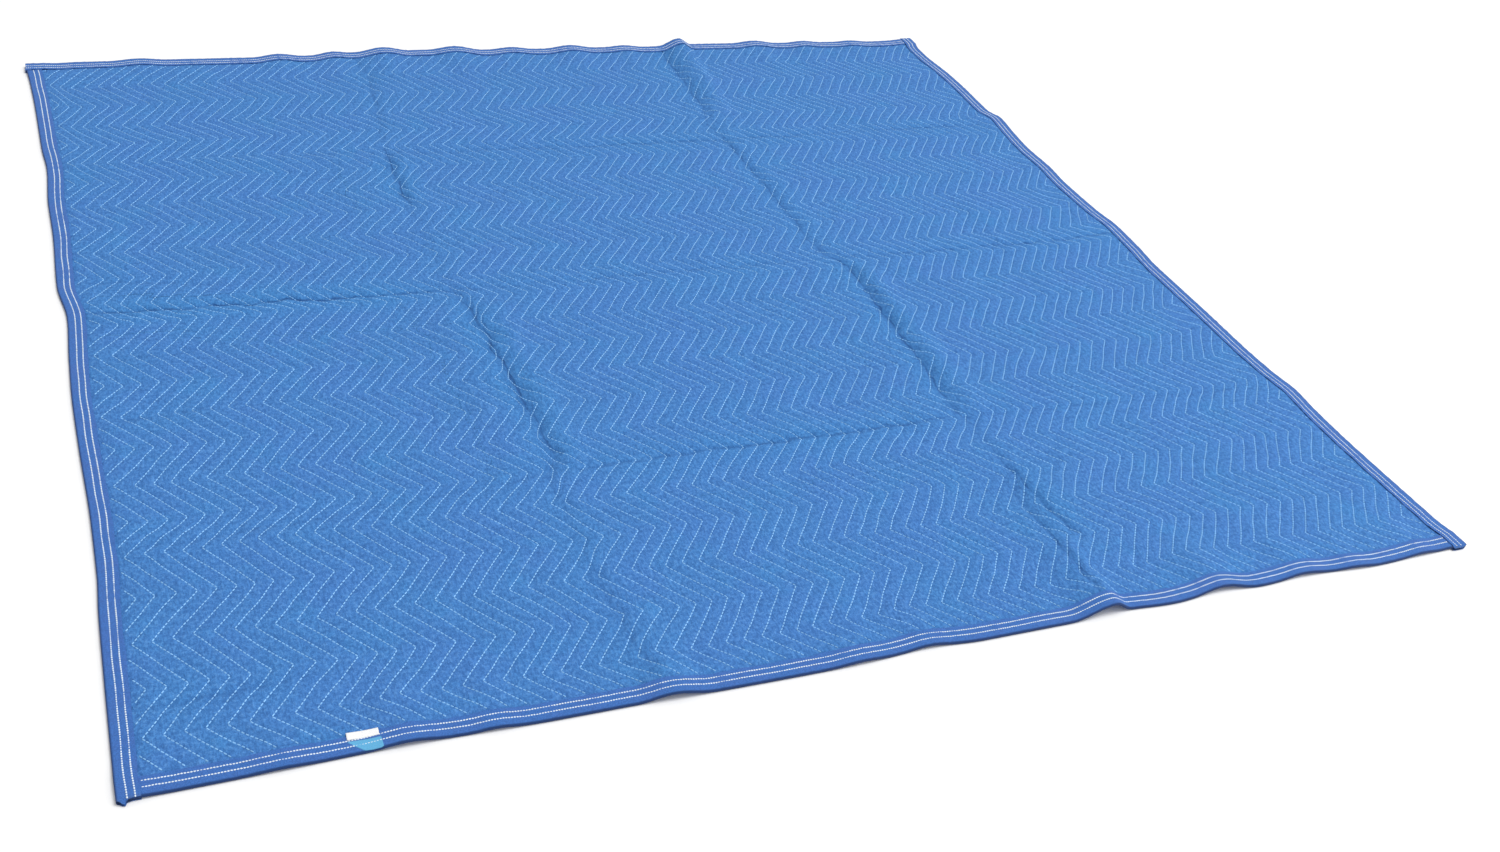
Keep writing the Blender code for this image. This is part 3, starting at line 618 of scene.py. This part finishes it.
def cut(mesh, point, normal, clear):
    """Cuts the flat mesh along a line and clears what lies on its inner or outer side."""
    bmesh.ops.bisect_plane(
        mesh,
        geom=mesh.faces[:] + mesh.edges[:] + mesh.verts[:],
        dist=NEAR,
        plane_co=(*point, 0),
        plane_no=(*normal, 0),
        clear_outer=clear == "outer",
        clear_inner=clear == "inner",
    )


def perimeter(s, t):
    """How far along the outline a border point lies, from the front left corner round by the right."""
    if t < NEAR:
        return s
    if s > WIDTH - NEAR:
        return WIDTH + t
    if t > DEPTH - NEAR:
        return 2 * WIDTH + DEPTH - s
    return 2 * WIDTH + 2 * DEPTH - t


def flat_arrays(mesh):
    """(places as rows of s and t, faces as lists of point numbers, outline as rows of perimeter and number)."""
    mesh.verts.index_update()
    flat = np.array([vert.co[:2] for vert in mesh.verts])
    faces = [[vert.index for vert in face.verts] for face in mesh.faces]
    rim = sorted((perimeter(*vert.co[:2]), vert.index) for vert in mesh.verts if vert.is_boundary)
    mesh.free()
    return flat, faces, rim


def zip_rims(upper, lower):
    """Triangles that join two closed rims of (place, point number)."""
    length = 2 * (WIDTH + DEPTH)
    upper = upper + [(upper[0][0] + length, upper[0][1])]
    lower = lower + [(lower[0][0] + length, lower[0][1])]
    faces = []
    i = j = 0
    while i < len(upper) - 1 or j < len(lower) - 1:
        if j == len(lower) - 1 or (i < len(upper) - 1 and upper[i + 1][0] <= lower[j + 1][0]):
            faces.append([upper[i][1], lower[j][1], upper[i + 1][1]])
            i += 1
        else:
            faces.append([upper[i][1], lower[j][1], lower[j + 1][1]])
            j += 1
    return faces


def refine(mesh):
    """Halves the flat mesh's faces along the creases."""
    centres = np.array([face.calc_center_median()[:2] for face in mesh.faces])
    s, t = drifted(*centres.T)
    near = np.zeros(len(centres), dtype=bool)
    for kind in ("cross", "long"):
        distance, strength = nearest_crease(s, t, kind)
        near |= (np.abs(distance) < FINE_REACH) & (strength > FINE_STRENGTH)
    near &= inward(s, t) > FINE_START
    edges = {edge for face, close in zip(mesh.faces, near) if close for edge in face.edges}
    bmesh.ops.subdivide_edges(mesh, edges=list(edges), cuts=1, use_grid_fill=True)
    return mesh


def quilted_cloth(upper_look, lower_look):
    flat, faces, rim = flat_arrays(refine(flat_sheet(UPPER_PHASES, UPPER_ROWS)))
    low_flat, low_faces, low_rim = flat_arrays(flat_sheet(LOWER_PHASES, LOWER_ROWS))
    pattern = np.concatenate((flat, low_flat)).T
    phase = line_phase(*pattern)
    s, t = drifted(*pattern)
    first = len(flat)
    upper, lower = slice(0, first), slice(first, None)
    z = np.concatenate([height(s[part], t[part], phase[part]) for height, part in
                        ((upper_height, upper), (lower_height, lower))])
    low_faces = [[k + first for k in reversed(face)] for face in low_faces]
    sides = zip_rims(rim, [(place, k + first) for place, k in low_rim])
    cross, cross_strength = nearest_crease(s, t, "cross")
    long, long_strength = nearest_crease(s, t, "long")
    slope = math.hypot(1, ZIGZAG_SWING / (TURN_PLACES[2] - TURN_PLACES[1]))
    made = new_piece(
        "quilted_cloth",
        placed(s, t, z),
        faces + low_faces + sides,
        upper_look,
        "quilted_cloth",
        cloth=np.stack((phase, pattern[1] * slope / STITCH_LENGTH, inward(s, t)), axis=-1),
        creases=np.stack((cross, long, 0 * s), axis=-1),
        worn=np.stack((cross_strength, long_strength, 0 * s), axis=-1),
    )
    made.data.materials.append(lower_look)
    slots = np.zeros(len(made.data.polygons), dtype=np.int32)
    slots[len(faces):] = 1
    made.data.polygons.foreach_set("material_index", slots)
    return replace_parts(made, "quilted_panel")


# Stitches

STITCH_LENGTH = math.hypot(ZIGZAG_SWING, TURN_PLACES[2] - TURN_PLACES[1]) / QUILT_STITCHES


def stitches(name, starts, ends, up, look, half_width, height, gap, rings):
    """One small closed lens of thread from each start to its end, as rows of points, standing out along up."""
    up = np.array(up)
    run = ends - starts
    side = np.cross(run, up)
    side = side / np.linalg.norm(side, axis=1, keepdims=True)
    points = [starts + run * gap]
    for share in rings:
        middle = starts + run * share
        points.extend((middle - side * half_width, middle + up * height, middle + side * half_width))
    points.append(ends - run * gap)
    count = len(points)
    faces = [(0, 2, 1), (0, 3, 2), (0, 1, 3)]
    for k in range(len(rings) - 1):
        a, b = 1 + 3 * k, 4 + 3 * k
        for m in range(3):
            n = (m + 1) % 3
            faces.extend(((a + m, a + n, b + n), (a + m, b + n, b + m)))
    last = count - 4
    faces.extend((last + m, last + (m + 1) % 3, count - 1) for m in range(3))
    all_points = np.stack(points, axis=1).reshape(-1, 3)
    numbers = np.arange(len(starts))[:, None, None] * count
    all_faces = (np.array(faces)[None] + numbers).reshape(-1, 3)
    made = new_piece(name, all_points, all_faces, look)
    made.data.shade_flat()
    return made


def quilting_holes():
    """(s, t) of the needle holes of each stitch line, as an array of line, hole and coordinate."""
    holes = []
    for low, high in zip(TURN_PLACES, TURN_PLACES[1:]):
        holes.extend(low + (high - low) * k / QUILT_STITCHES for k in range(QUILT_STITCHES))
    t = np.array(holes)
    reach = math.ceil(ZIGZAG_SWING / STITCH_PITCH)
    lines = np.arange(-reach, math.ceil(WIDTH / STITCH_PITCH) + reach)
    s = FIRST_LINE + lines[:, None] * STITCH_PITCH + zigzag(t)[None, :]
    return np.stack((s, np.broadcast_to(t, s.shape)), axis=-1)


def quilting_stitches(look):
    holes = quilting_holes()
    starts, ends = holes[:, :-1].reshape(-1, 2), holes[:, 1:].reshape(-1, 2)
    edge = LIP + STITCH_MARGIN
    clear = np.ones(len(starts), dtype=bool)
    for s, t in (starts.T, ends.T):
        clear &= (s > edge) & (s < WIDTH - edge) & (t > edge) & (t < DEPTH - edge)
    starts, ends = starts[clear], ends[clear]
    made = []
    for number, part in enumerate(np.array_split(np.arange(len(starts)), 2)):
        points = []
        for flat in (starts[part].T, ends[part].T):
            s, t = drifted(*flat)
            points.append(placed(s, t, upper_height(s, t, line_phase(*flat)) + STITCH_RAISE))
        made.append(stitches(f"quilting_thread_{number + 1}", *points, (0, 0, 1), look, **QUILT_THREAD))
    return made


# Folded tape

EDGES = {
    "front": (WIDTH, lambda r, d: (r, d)),
    "back": (WIDTH, lambda r, d: (r, DEPTH - d)),
    "left": (DEPTH, lambda r, d: (d, r)),
    "right": (DEPTH, lambda r, d: (WIDTH - d, r)),
}


def tape_sunk(d):
    """How far the rows of stitches pull the tape in, at a distance in from the panel's edge."""
    return TAPE_SUNK * sum(hump((d - row) / SUNK_WIDTH) for row in TAPE_ROWS)


def tape_section():
    """The folded tape's section as (distance in, layer, share out): layer 0 is the lower one and 1 the upper one,
    and share out is 0 on its inside and 1 on its outside. It runs round the outside and back inside."""
    flat = np.array([LIP, 0.0262, 0.0230, 0.0198, 0.0175, 0.0150, 0.0128, 0.0108, 0.0085, 0.0055, 0.0025, 0.0])
    angles = np.linspace(-np.pi / 2, np.pi / 2, NOSE_STEPS + 2)[1:-1]
    section = [(LIP + LIP_ROUND, 0.0, 0.5)]
    section += [(d, 0.0, 1.0) for d in flat]
    section += [(-NOSE * math.cos(a), (1 + math.sin(a)) / 2, 1.0) for a in angles]
    section += [(d, 1.0, 1.0) for d in flat[::-1]]
    section += [(LIP + LIP_ROUND, 1.0, 0.5)]
    section += [(d, 1.0, 0.0) for d in flat[::2]]
    section += [(-GAP, 0.85, 0.0), (-GAP, 0.15, 0.0)]
    section += [(d, 0.0, 0.0) for d in flat[::-2]]
    return np.array(section)


def tape_strip(strip, number, look):
    length, at = EDGES[strip["edge"]]
    d, layer, out = tape_section().T
    share = np.clip((d + NOSE) / (LIP + NOSE), 0, 1)
    start = -NOSE if strip["start"] else UNDER_TUCK
    end = length + NOSE if strip["end"] else length - UNDER_TUCK
    count = round((end - start) / TAPE_STEP)
    r = np.linspace(start, end, count + 1)[:, None] + 0 * d[None, :]
    spread = 0 * r
    reach = 0 * r
    for key, sign, base in (("start", -1, 0.0), ("end", 1, length)):
        if strip[key]:
            spread = spread + RISE * border_fade(np.abs(r - base), RISE_END)
            pull = np.clip(1 - np.abs(r - (start if sign < 0 else end)) / END_PULL, 0, 1)
            reach = reach + sign * pull * smooth_curve(share, strip[key]) * MM
    r = r + reach
    d = d[None, :] + 0 * r
    past = np.maximum(-NOSE - r, r - length - NOSE)
    closing = eased(past / FLAP_CLOSE)
    s, t = at(np.clip(r, 0, length), np.clip(d, 0, BAND))
    right, back, lift, rise = lie(s, t)
    flat_s, flat_t = at(r, d)
    coarse, fine = PUCKER_LENGTHS
    pucker = waves(r, 0 * r, coarse, 70 + number) * (0.4 + share) + waves(r, d, fine, 80 + number)
    base = lift + rise
    under = base - GAP - spread - out * TAPE
    over = base + PRESSED_THICKNESS + GAP + spread + out * TAPE - tape_sunk(d) + TAPE_PUCKER * pucker
    over = over + (under + 2 * TAPE * out + GAP - over) * closing * FLAP_CLOSED
    z = under + (over - under) * layer
    lip = LIP_WANDER * waves(r, 0 * r, 0.05, 90 + number) * share**4
    lip_s, lip_t = at(0 * r, lip)
    zero_s, zero_t = at(0 * r, 0 * r)
    points = np.stack((
        ORIGIN[0] + flat_s + right + lip_s - zero_s,
        ORIGIN[1] + flat_t + back + lip_t - zero_t,
        z,
    ), axis=-1)
    sides = points.shape[1]
    rows, columns = np.meshgrid(np.arange(count), np.arange(sides), indexing="ij")
    after = (columns + 1) % sides
    faces = np.stack((rows * sides + columns, rows * sides + after,
                      (rows + 1) * sides + after, (rows + 1) * sides + columns), axis=-1).reshape(-1, 4).tolist()
    faces += section_caps(sides, 0) + section_caps(sides, count * sides)
    spots = np.stack((r, d, past), axis=-1).reshape(-1, 3)
    made = new_piece(strip["name"] + "_tape", points.reshape(-1, 3), faces, look, "binding_tape", cloth=spots)
    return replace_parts(made, strip["name"])


def section_caps(sides, first):
    """Triangles that close a strip's end: between the outside line and the inside line of its section."""
    outside = [k for k in range(sides) if tape_section()[k][2] > 0.4]
    inside = [k for k in range(sides) if k not in outside]
    inside = inside[::-1]
    faces = []
    i = j = 0
    while i < len(outside) - 1 or j < len(inside) - 1:
        if j == len(inside) - 1 or (i < len(outside) - 1 and i * len(inside) <= j * len(outside)):
            faces.append([first + outside[i], first + outside[i + 1], first + inside[j]])
            i += 1
        else:
            faces.append([first + outside[i], first + inside[j + 1], first + inside[j]])
            j += 1
    return faces


def tape_stitches(strip, number, look):
    """Two rows of stitches through one strip, on its upper and its lower face."""
    length, at = EDGES[strip["edge"]]
    start = -NOSE - OVERRUN if strip["start"] else BAND
    end = length + NOSE + OVERRUN if strip["end"] else length - BAND
    faces = {"upper": ([], []), "lower": ([], [])}
    for row in TAPE_ROWS:
        count = round((end - start) / TAPE_STITCH)
        r = np.linspace(start, end, count + 1)
        spread = 0 * r
        for key, base in (("start", 0.0), ("end", length)):
            if strip[key]:
                spread = spread + RISE * border_fade(np.abs(r - base), RISE_END)
        d = row + ROW_WANDER * waves(r, 0 * r, 0.07, 100 + number)
        s, t = at(np.clip(r, 0, length), np.clip(d, 0, BAND))
        right, back, lift, rise = lie(s, t)
        flat_s, flat_t = at(r, d)
        pucker = TAPE_PUCKER * waves(r, d, PUCKER_LENGTHS[1], 80 + number)
        heights = {
            "upper": lift + rise + PRESSED_THICKNESS + GAP + TAPE + spread - tape_sunk(d) + pucker,
            "lower": lift + rise - GAP - TAPE - spread,
        }
        for face, z in heights.items():
            line = np.stack((ORIGIN[0] + flat_s + right, ORIGIN[1] + flat_t + back, z + THREAD_CLEAR), axis=-1)
            faces[face][0].append(line[:-1])
            faces[face][1].append(line[1:])
    made = []
    for face, (starts, ends) in faces.items():
        up = (0, 0, 1) if face == "upper" else UNDERSIDE_UP
        name = f"{strip['name']}_thread_{face}"
        made.append(stitches(name, np.concatenate(starts), np.concatenate(ends), up, look, **TAPE_THREAD))
    return made


# Label and tab


def sewn_on(name, outline, look, slot, gap, thickness):
    """A thin piece lying on the front tape, from matching front and back outlines in outer millimetres."""
    rows = []
    for share in np.linspace(0, 1, SEWN_ON_STEPS + 1):
        front, back = (np.array(outline[key], dtype=float) for key in ("front", "back"))
        places = np.linspace(0, 1, 3 * SEWN_ON_STEPS + 1)
        knots = np.linspace(0, 1, len(front))
        row = []
        for axis in (0, 1):
            edge = np.interp(places, knots, front[:, axis]) * (1 - share)
            row.append(edge + np.interp(places, knots, back[:, axis]) * share)
        rows.append(np.stack(row, axis=-1))
    flat = np.array(rows) * MM - NOSE
    s, t = flat[..., 0], flat[..., 1]
    right, back, lift, rise = lie(s, np.clip(t, 0, BAND))
    low = lift + rise + PRESSED_THICKNESS + GAP + TAPE - tape_sunk(t)
    low = low + gap + SEWN_ON_UNEVEN * gap * waves(s, t, SEWN_ON_WAVE, 7)
    layers = []
    for z in (low, low + thickness):
        layers.append(np.stack((ORIGIN[0] + s + right, ORIGIN[1] + t + back, z), axis=-1).reshape(-1, 3))
    depth, width = s.shape
    count = depth * width
    faces = []
    for row in range(depth - 1):
        for column in range(width - 1):
            a = row * width + column
            quad = [a, a + 1, a + 1 + width, a + width]
            faces.append(quad[::-1])
            faces.append([k + count for k in quad])
    rim = [*range(width), *range(2 * width - 1, count, width), *range(count - 2, count - width - 1, -1),
           *range(count - 2 * width, 0, -width)]
    for a, b in zip(rim, rim[1:] + rim[:1]):
        faces.append([a, b, b + count, a + count])
    spots = np.concatenate([np.stack((s, t, 0 * s), axis=-1).reshape(-1, 3)] * 2)
    made = new_piece(name + "_cloth", np.concatenate(layers), faces, look, slot, cloth=spots)
    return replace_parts(made, name)


# Materials


def new_look(name, roughness, sheen=0.0):
    made = bpy.data.materials.new(name)
    made.use_nodes = True
    shader = made.node_tree.nodes["Principled BSDF"]
    shader.inputs["Roughness"].default_value = roughness
    shader.inputs["Sheen Weight"].default_value = sheen
    shader.inputs["Specular IOR Level"].default_value = CLOTH_SPECULAR
    return made, made.node_tree, shader


def put(tree, socket, value):
    """Links a socket or sets a value."""
    if isinstance(value, bpy.types.NodeSocket):
        tree.links.new(value, socket)
    elif len(np.shape(value)) == 1 and len(value) == 3 and socket.type == "RGBA":
        socket.default_value = (*value, 1.0)
    else:
        socket.default_value = value


def calc(tree, operation, *values):
    node = tree.nodes.new("ShaderNodeMath")
    node.operation = operation
    for socket, value in zip(node.inputs, values):
        put(tree, socket, value)
    return node.outputs[0]


def mixed(tree, share, one, two):
    """A colour between one and two."""
    node = tree.nodes.new("ShaderNodeMix")
    node.data_type = "RGBA"
    put(tree, node.inputs[0], share)
    put(tree, node.inputs[6], one)
    put(tree, node.inputs[7], two)
    return node.outputs[2]


def ranged(tree, value, low, high, to_low=0.0, to_high=1.0):
    """The value mapped smoothly from one range to another."""
    node = tree.nodes.new("ShaderNodeMapRange")
    node.interpolation_type = "SMOOTHSTEP"
    put(tree, node.inputs["Value"], value)
    for key, number in (("From Min", low), ("From Max", high), ("To Min", to_low), ("To Max", to_high)):
        node.inputs[key].default_value = number
    return node.outputs["Result"]


def speckle(tree, places, scale, detail=2.0, stretch=(1, 1, 1)):
    """Noise with spots of about one over scale metres."""
    mapping = tree.nodes.new("ShaderNodeMapping")
    mapping.inputs["Scale"].default_value = stretch
    tree.links.new(places, mapping.inputs["Vector"])
    node = tree.nodes.new("ShaderNodeTexNoise")
    node.inputs["Scale"].default_value = scale
    node.inputs["Detail"].default_value = detail
    tree.links.new(mapping.outputs[0], node.inputs["Vector"])
    return node.outputs["Fac"]


def object_places(tree):
    return tree.nodes.new("ShaderNodeTexCoord").outputs["Object"]


def attribute(tree, name):
    """The three numbers that each point of a piece keeps under this name."""
    node = tree.nodes.new("ShaderNodeAttribute")
    node.attribute_name = name
    parts = tree.nodes.new("ShaderNodeSeparateXYZ")
    tree.links.new(node.outputs["Vector"], parts.inputs[0])
    return parts.outputs


def raise_by(tree, shader, height, distance):
    """Raises the surface by height times distance."""
    node = tree.nodes.new("ShaderNodeBump")
    node.inputs["Distance"].default_value = distance
    tree.links.new(height, node.inputs["Height"])
    tree.links.new(node.outputs["Normal"], shader.inputs["Normal"])


def cloth_look(name, thread):
    """Matte non-woven cloth with grain, blotches, painted shade along its creases and in its stitch grooves, and
    painted thread if asked.
    """
    made, tree, shader = new_look(name, 0.95, sheen=0.02)
    places = object_places(tree)
    blotches = ranged(tree, speckle(tree, places, BLOTCH_SPOTS, 3.0), 0.35, 0.65)
    colour = mixed(tree, blotches, PANEL_VIOLET, PANEL_BLUE)
    cross, long, _ = attribute(tree, "creases")
    cross_worn, long_worn, _ = attribute(tree, "worn")
    pale = ranged(tree, speckle(tree, places, PALE_SPOTS, 3.0), 0.50, 0.72, 0.0, 0.45)
    for offset, worn in ((cross, cross_worn), (long, long_worn)):
        beside = ranged(tree, calc(tree, "ABSOLUTE", offset), *CREASE_PALE_REACH, 0.7, 0.0)
        pale = calc(tree, "MAXIMUM", pale, calc(tree, "MULTIPLY", beside, worn))
    colour = mixed(tree, calc(tree, "MULTIPLY", pale, 0.8), colour, PANEL_CYAN)
    mottle = speckle(tree, places, MOTTLE_SPOTS, 2.0)
    colour = mixed(tree, ranged(tree, mottle, 0.53, 0.36, 0.0, 0.28), colour, PANEL_DARK)
    colour = mixed(tree, ranged(tree, mottle, 0.50, 0.66, 0.0, 0.20), colour, PANEL_PALE)
    grain = speckle(tree, places, GRAIN_SPOTS, 2.0)
    fibres = speckle(tree, places, FIBRE_SPOTS, 1.0, (1.0, 0.28, 1.0))
    grit = calc(tree, "ADD", calc(tree, "MULTIPLY", grain, 0.6), calc(tree, "MULTIPLY", fibres, 0.4))
    colour = mixed(tree, ranged(tree, grit, 0.60, 0.38, 0.0, 0.50), colour, PANEL_DARK)
    phase, length, _ = attribute(tree, "cloth")
    off = calc(tree, "SUBTRACT", calc(tree, "FRACT", calc(tree, "ADD", phase, 0.5)), 0.5)
    off = calc(tree, "ABSOLUTE", off)
    groove = ranged(tree, off, 0.0, 0.13, 1.0, 0.0)
    # Painted shade in the stitch grooves: the cloth darkens a little towards each stitch line
    colour = mixed(tree, calc(tree, "MULTIPLY", groove, 0.06), colour, PANEL_DARK)
    ragged = calc(tree, "SUBTRACT", speckle(tree, places, RAGGED_SPOTS, 3.0), 0.5)
    ragged = calc(tree, "MULTIPLY", ragged, CREASE_SHADE_STRAY)
    patchy = ranged(tree, speckle(tree, places, PATCHY_SPOTS, 2.0), 0.35, 0.60, 0.25, 1.0)
    # Painted shade along each crease: a soft dark band and a ragged dark core line, as strong as the crease is deep
    lines = []
    for offset, worn, band in ((cross, cross_worn, CREASE_SHADE_BANDS["cross"]), (long, long_worn, CREASE_SHADE_BANDS["long"])):
        near = calc(tree, "ABSOLUTE", calc(tree, "ADD", offset, ragged))
        core = calc(tree, "MULTIPLY", ranged(tree, near, 0.0, CREASE_SHADE_LINE, 0.8, 0.0), patchy)
        both = calc(tree, "ADD", ranged(tree, near, 0.0, band, 0.4, 0.0), core)
        lines.append(calc(tree, "MULTIPLY", both, worn))
    crease_shade = calc(tree, "MAXIMUM", *lines)
    colour = mixed(tree, calc(tree, "MULTIPLY", crease_shade, CREASE_SHADE_DARK), colour, PANEL_DARK)
    if thread:
        dash = ranged(tree, calc(tree, "FRACT", length), *PAINTED_STITCH, 1.0, 0.0)
        line = calc(tree, "MULTIPLY", ranged(tree, off, *PAINTED_THREAD, 1.0, 0.0), dash)
        colour = mixed(tree, line, colour, QUILT_THREAD_BLUE)
    tree.links.new(colour, shader.inputs["Base Color"])
    height = calc(tree, "ADD", grit, calc(tree, "MULTIPLY", mottle, 1.6))
    height = calc(tree, "SUBTRACT", height, calc(tree, "MULTIPLY", groove, 0.6))
    height = calc(tree, "SUBTRACT", height, calc(tree, "MULTIPLY", crease_shade, 1.5))
    raise_by(tree, shader, height, PANEL_RAISE)
    return made


def tape_look():
    """Woven tape: fine ribs across it, two tones of blue, painted shade along its outer fold."""
    made, tree, shader = new_look("binding_tape", 0.9, sheen=0.1)
    places = object_places(tree)
    along_tape, inwards, _ = attribute(tree, "cloth")
    blotches = ranged(tree, speckle(tree, places, 30, 3.0), 0.35, 0.65)
    colour = mixed(tree, blotches, TAPE_BLUE, TAPE_VIOLET)
    grain = speckle(tree, places, 700, 2.0)
    colour = mixed(tree, ranged(tree, grain, 0.62, 0.38, 0.0, 0.30), colour, TAPE_DARK)
    # Painted shade along the tape's outer fold, which faces away from the light
    fold_shade = ranged(tree, inwards, *FOLD_SHADE, 0.85, 0.0)
    colour = mixed(tree, fold_shade, colour, TAPE_DARK)
    tree.links.new(colour, shader.inputs["Base Color"])
    ribs = calc(tree, "SINE", calc(tree, "MULTIPLY", along_tape, 2 * math.pi / RIB_PITCH))
    height = calc(tree, "ADD", calc(tree, "MULTIPLY", ribs, 0.25), grain)
    raise_by(tree, shader, height, TAPE_RAISE)
    return made


def thread_look(name, colour, shade):
    """Twisted thread, slightly uneven in tone."""
    made, tree, shader = new_look(name, 0.6, sheen=0.1)
    places = object_places(tree)
    darker = tuple(shade * part for part in colour)
    uneven = ranged(tree, speckle(tree, places, 55, 3.0), 0.35, 0.65)
    tree.links.new(mixed(tree, uneven, darker, colour), shader.inputs["Base Color"])
    raise_by(tree, shader, speckle(tree, places, 1500, 1.0), THREAD_RAISE)
    return made


def small_look(name, colour):
    """Smooth woven label cloth with a fine weave."""
    made, tree, shader = new_look(name, 0.6, sheen=0.1)
    places = object_places(tree)
    darker = tuple(0.86 * part for part in colour)
    weave = speckle(tree, places, 900, 2.0)
    tree.links.new(mixed(tree, ranged(tree, weave, 0.35, 0.65), darker, colour), shader.inputs["Base Color"])
    raise_by(tree, shader, weave, LABEL_RAISE)
    return made


def floor_look():
    made, tree, shader = new_look("floor_white", 0.95)
    shader.inputs["Base Color"].default_value = (*FLOOR_WHITE, 1.0)
    return made


# Floor, light and camera


def set_stage():
    """A pale floor, an even white sky, a soft sun from the right and a softbox at the front right."""
    data = bpy.data.meshes.new("floor")
    corners = [(FLOOR_HALF * x, FLOOR_HALF * y, 0) for x, y in ((-1, -1), (1, -1), (1, 1), (-1, 1))]
    data.from_pydata(corners, [], [(0, 1, 2, 3)])
    floor = bpy.data.objects.new("floor", data)
    floor.location.z = -FLOOR_DOWN
    bpy.context.scene.collection.objects.link(floor)
    data.materials.append(floor_look())
    world = bpy.data.worlds.new("studio")
    world.use_nodes = True
    world.node_tree.nodes["Background"].inputs["Color"].default_value = (1.0, 1.0, 1.0, 1.0)
    world.node_tree.nodes["Background"].inputs["Strength"].default_value = SKY_STRENGTH
    bpy.context.scene.world = world
    sun = bpy.data.lights.new("soft_sun", "SUN")
    sun.energy = SUN_POWER
    sun.angle = math.radians(SUN_ANGLE)
    lamp = bpy.data.objects.new("soft_sun", sun)
    lamp.rotation_euler = (0, math.radians(SUN_TILT), 0)
    bpy.context.scene.collection.objects.link(lamp)
    box = bpy.data.lights.new("side_softbox", "AREA")
    box.energy = SOFTBOX_POWER
    box.size = SOFTBOX_SIZE
    softbox = bpy.data.objects.new("side_softbox", box)
    softbox.location = SOFTBOX_PLACE
    softbox.rotation_euler = (-softbox.location).to_track_quat("-Z", "Y").to_euler()
    bpy.context.scene.collection.objects.link(softbox)
    bpy.context.scene.view_settings.view_transform = "Standard"


def set_camera():
    data = bpy.data.cameras.new("camera")
    data.lens = CAMERA_LENS
    data.sensor_width = CAMERA_SENSOR
    data.sensor_fit = "HORIZONTAL"
    data.shift_x = CAMERA_SHIFT
    made = bpy.data.objects.new("camera", data)
    x, y, z = CAMERA_PLACE
    made.location = (x + ORIGIN[0], y + ORIGIN[1], z)
    made.rotation_euler = Euler([math.radians(angle) for angle in CAMERA_ANGLES])
    bpy.context.scene.collection.objects.link(made)
    bpy.context.scene.camera = made


set_stage()
set_camera()
cloth = quilted_cloth(cloth_look("quilted_cloth_upper", thread=False), cloth_look("quilted_cloth_lower", thread=True))
others = quilting_stitches(thread_look("quilting_thread", QUILT_THREAD_BLUE, 0.82))
tape_material = tape_look()
tape_thread = thread_look("tape_thread", TAPE_THREAD_WHITE, 0.88)
for number, strip in enumerate(STRIPS):
    others.append(tape_strip(strip, number, tape_material))
    others.extend(tape_stitches(strip, number, tape_thread))
others.append(sewn_on("label", LABEL_OUTLINE, small_look("label_cloth", LABEL_WHITE), "label_cloth", **LABEL_LIES))
others.append(sewn_on("label_tab", TAB_OUTLINE, small_look("tab_cloth", TAB_CYAN), "tab_cloth", **TAB_LIES))
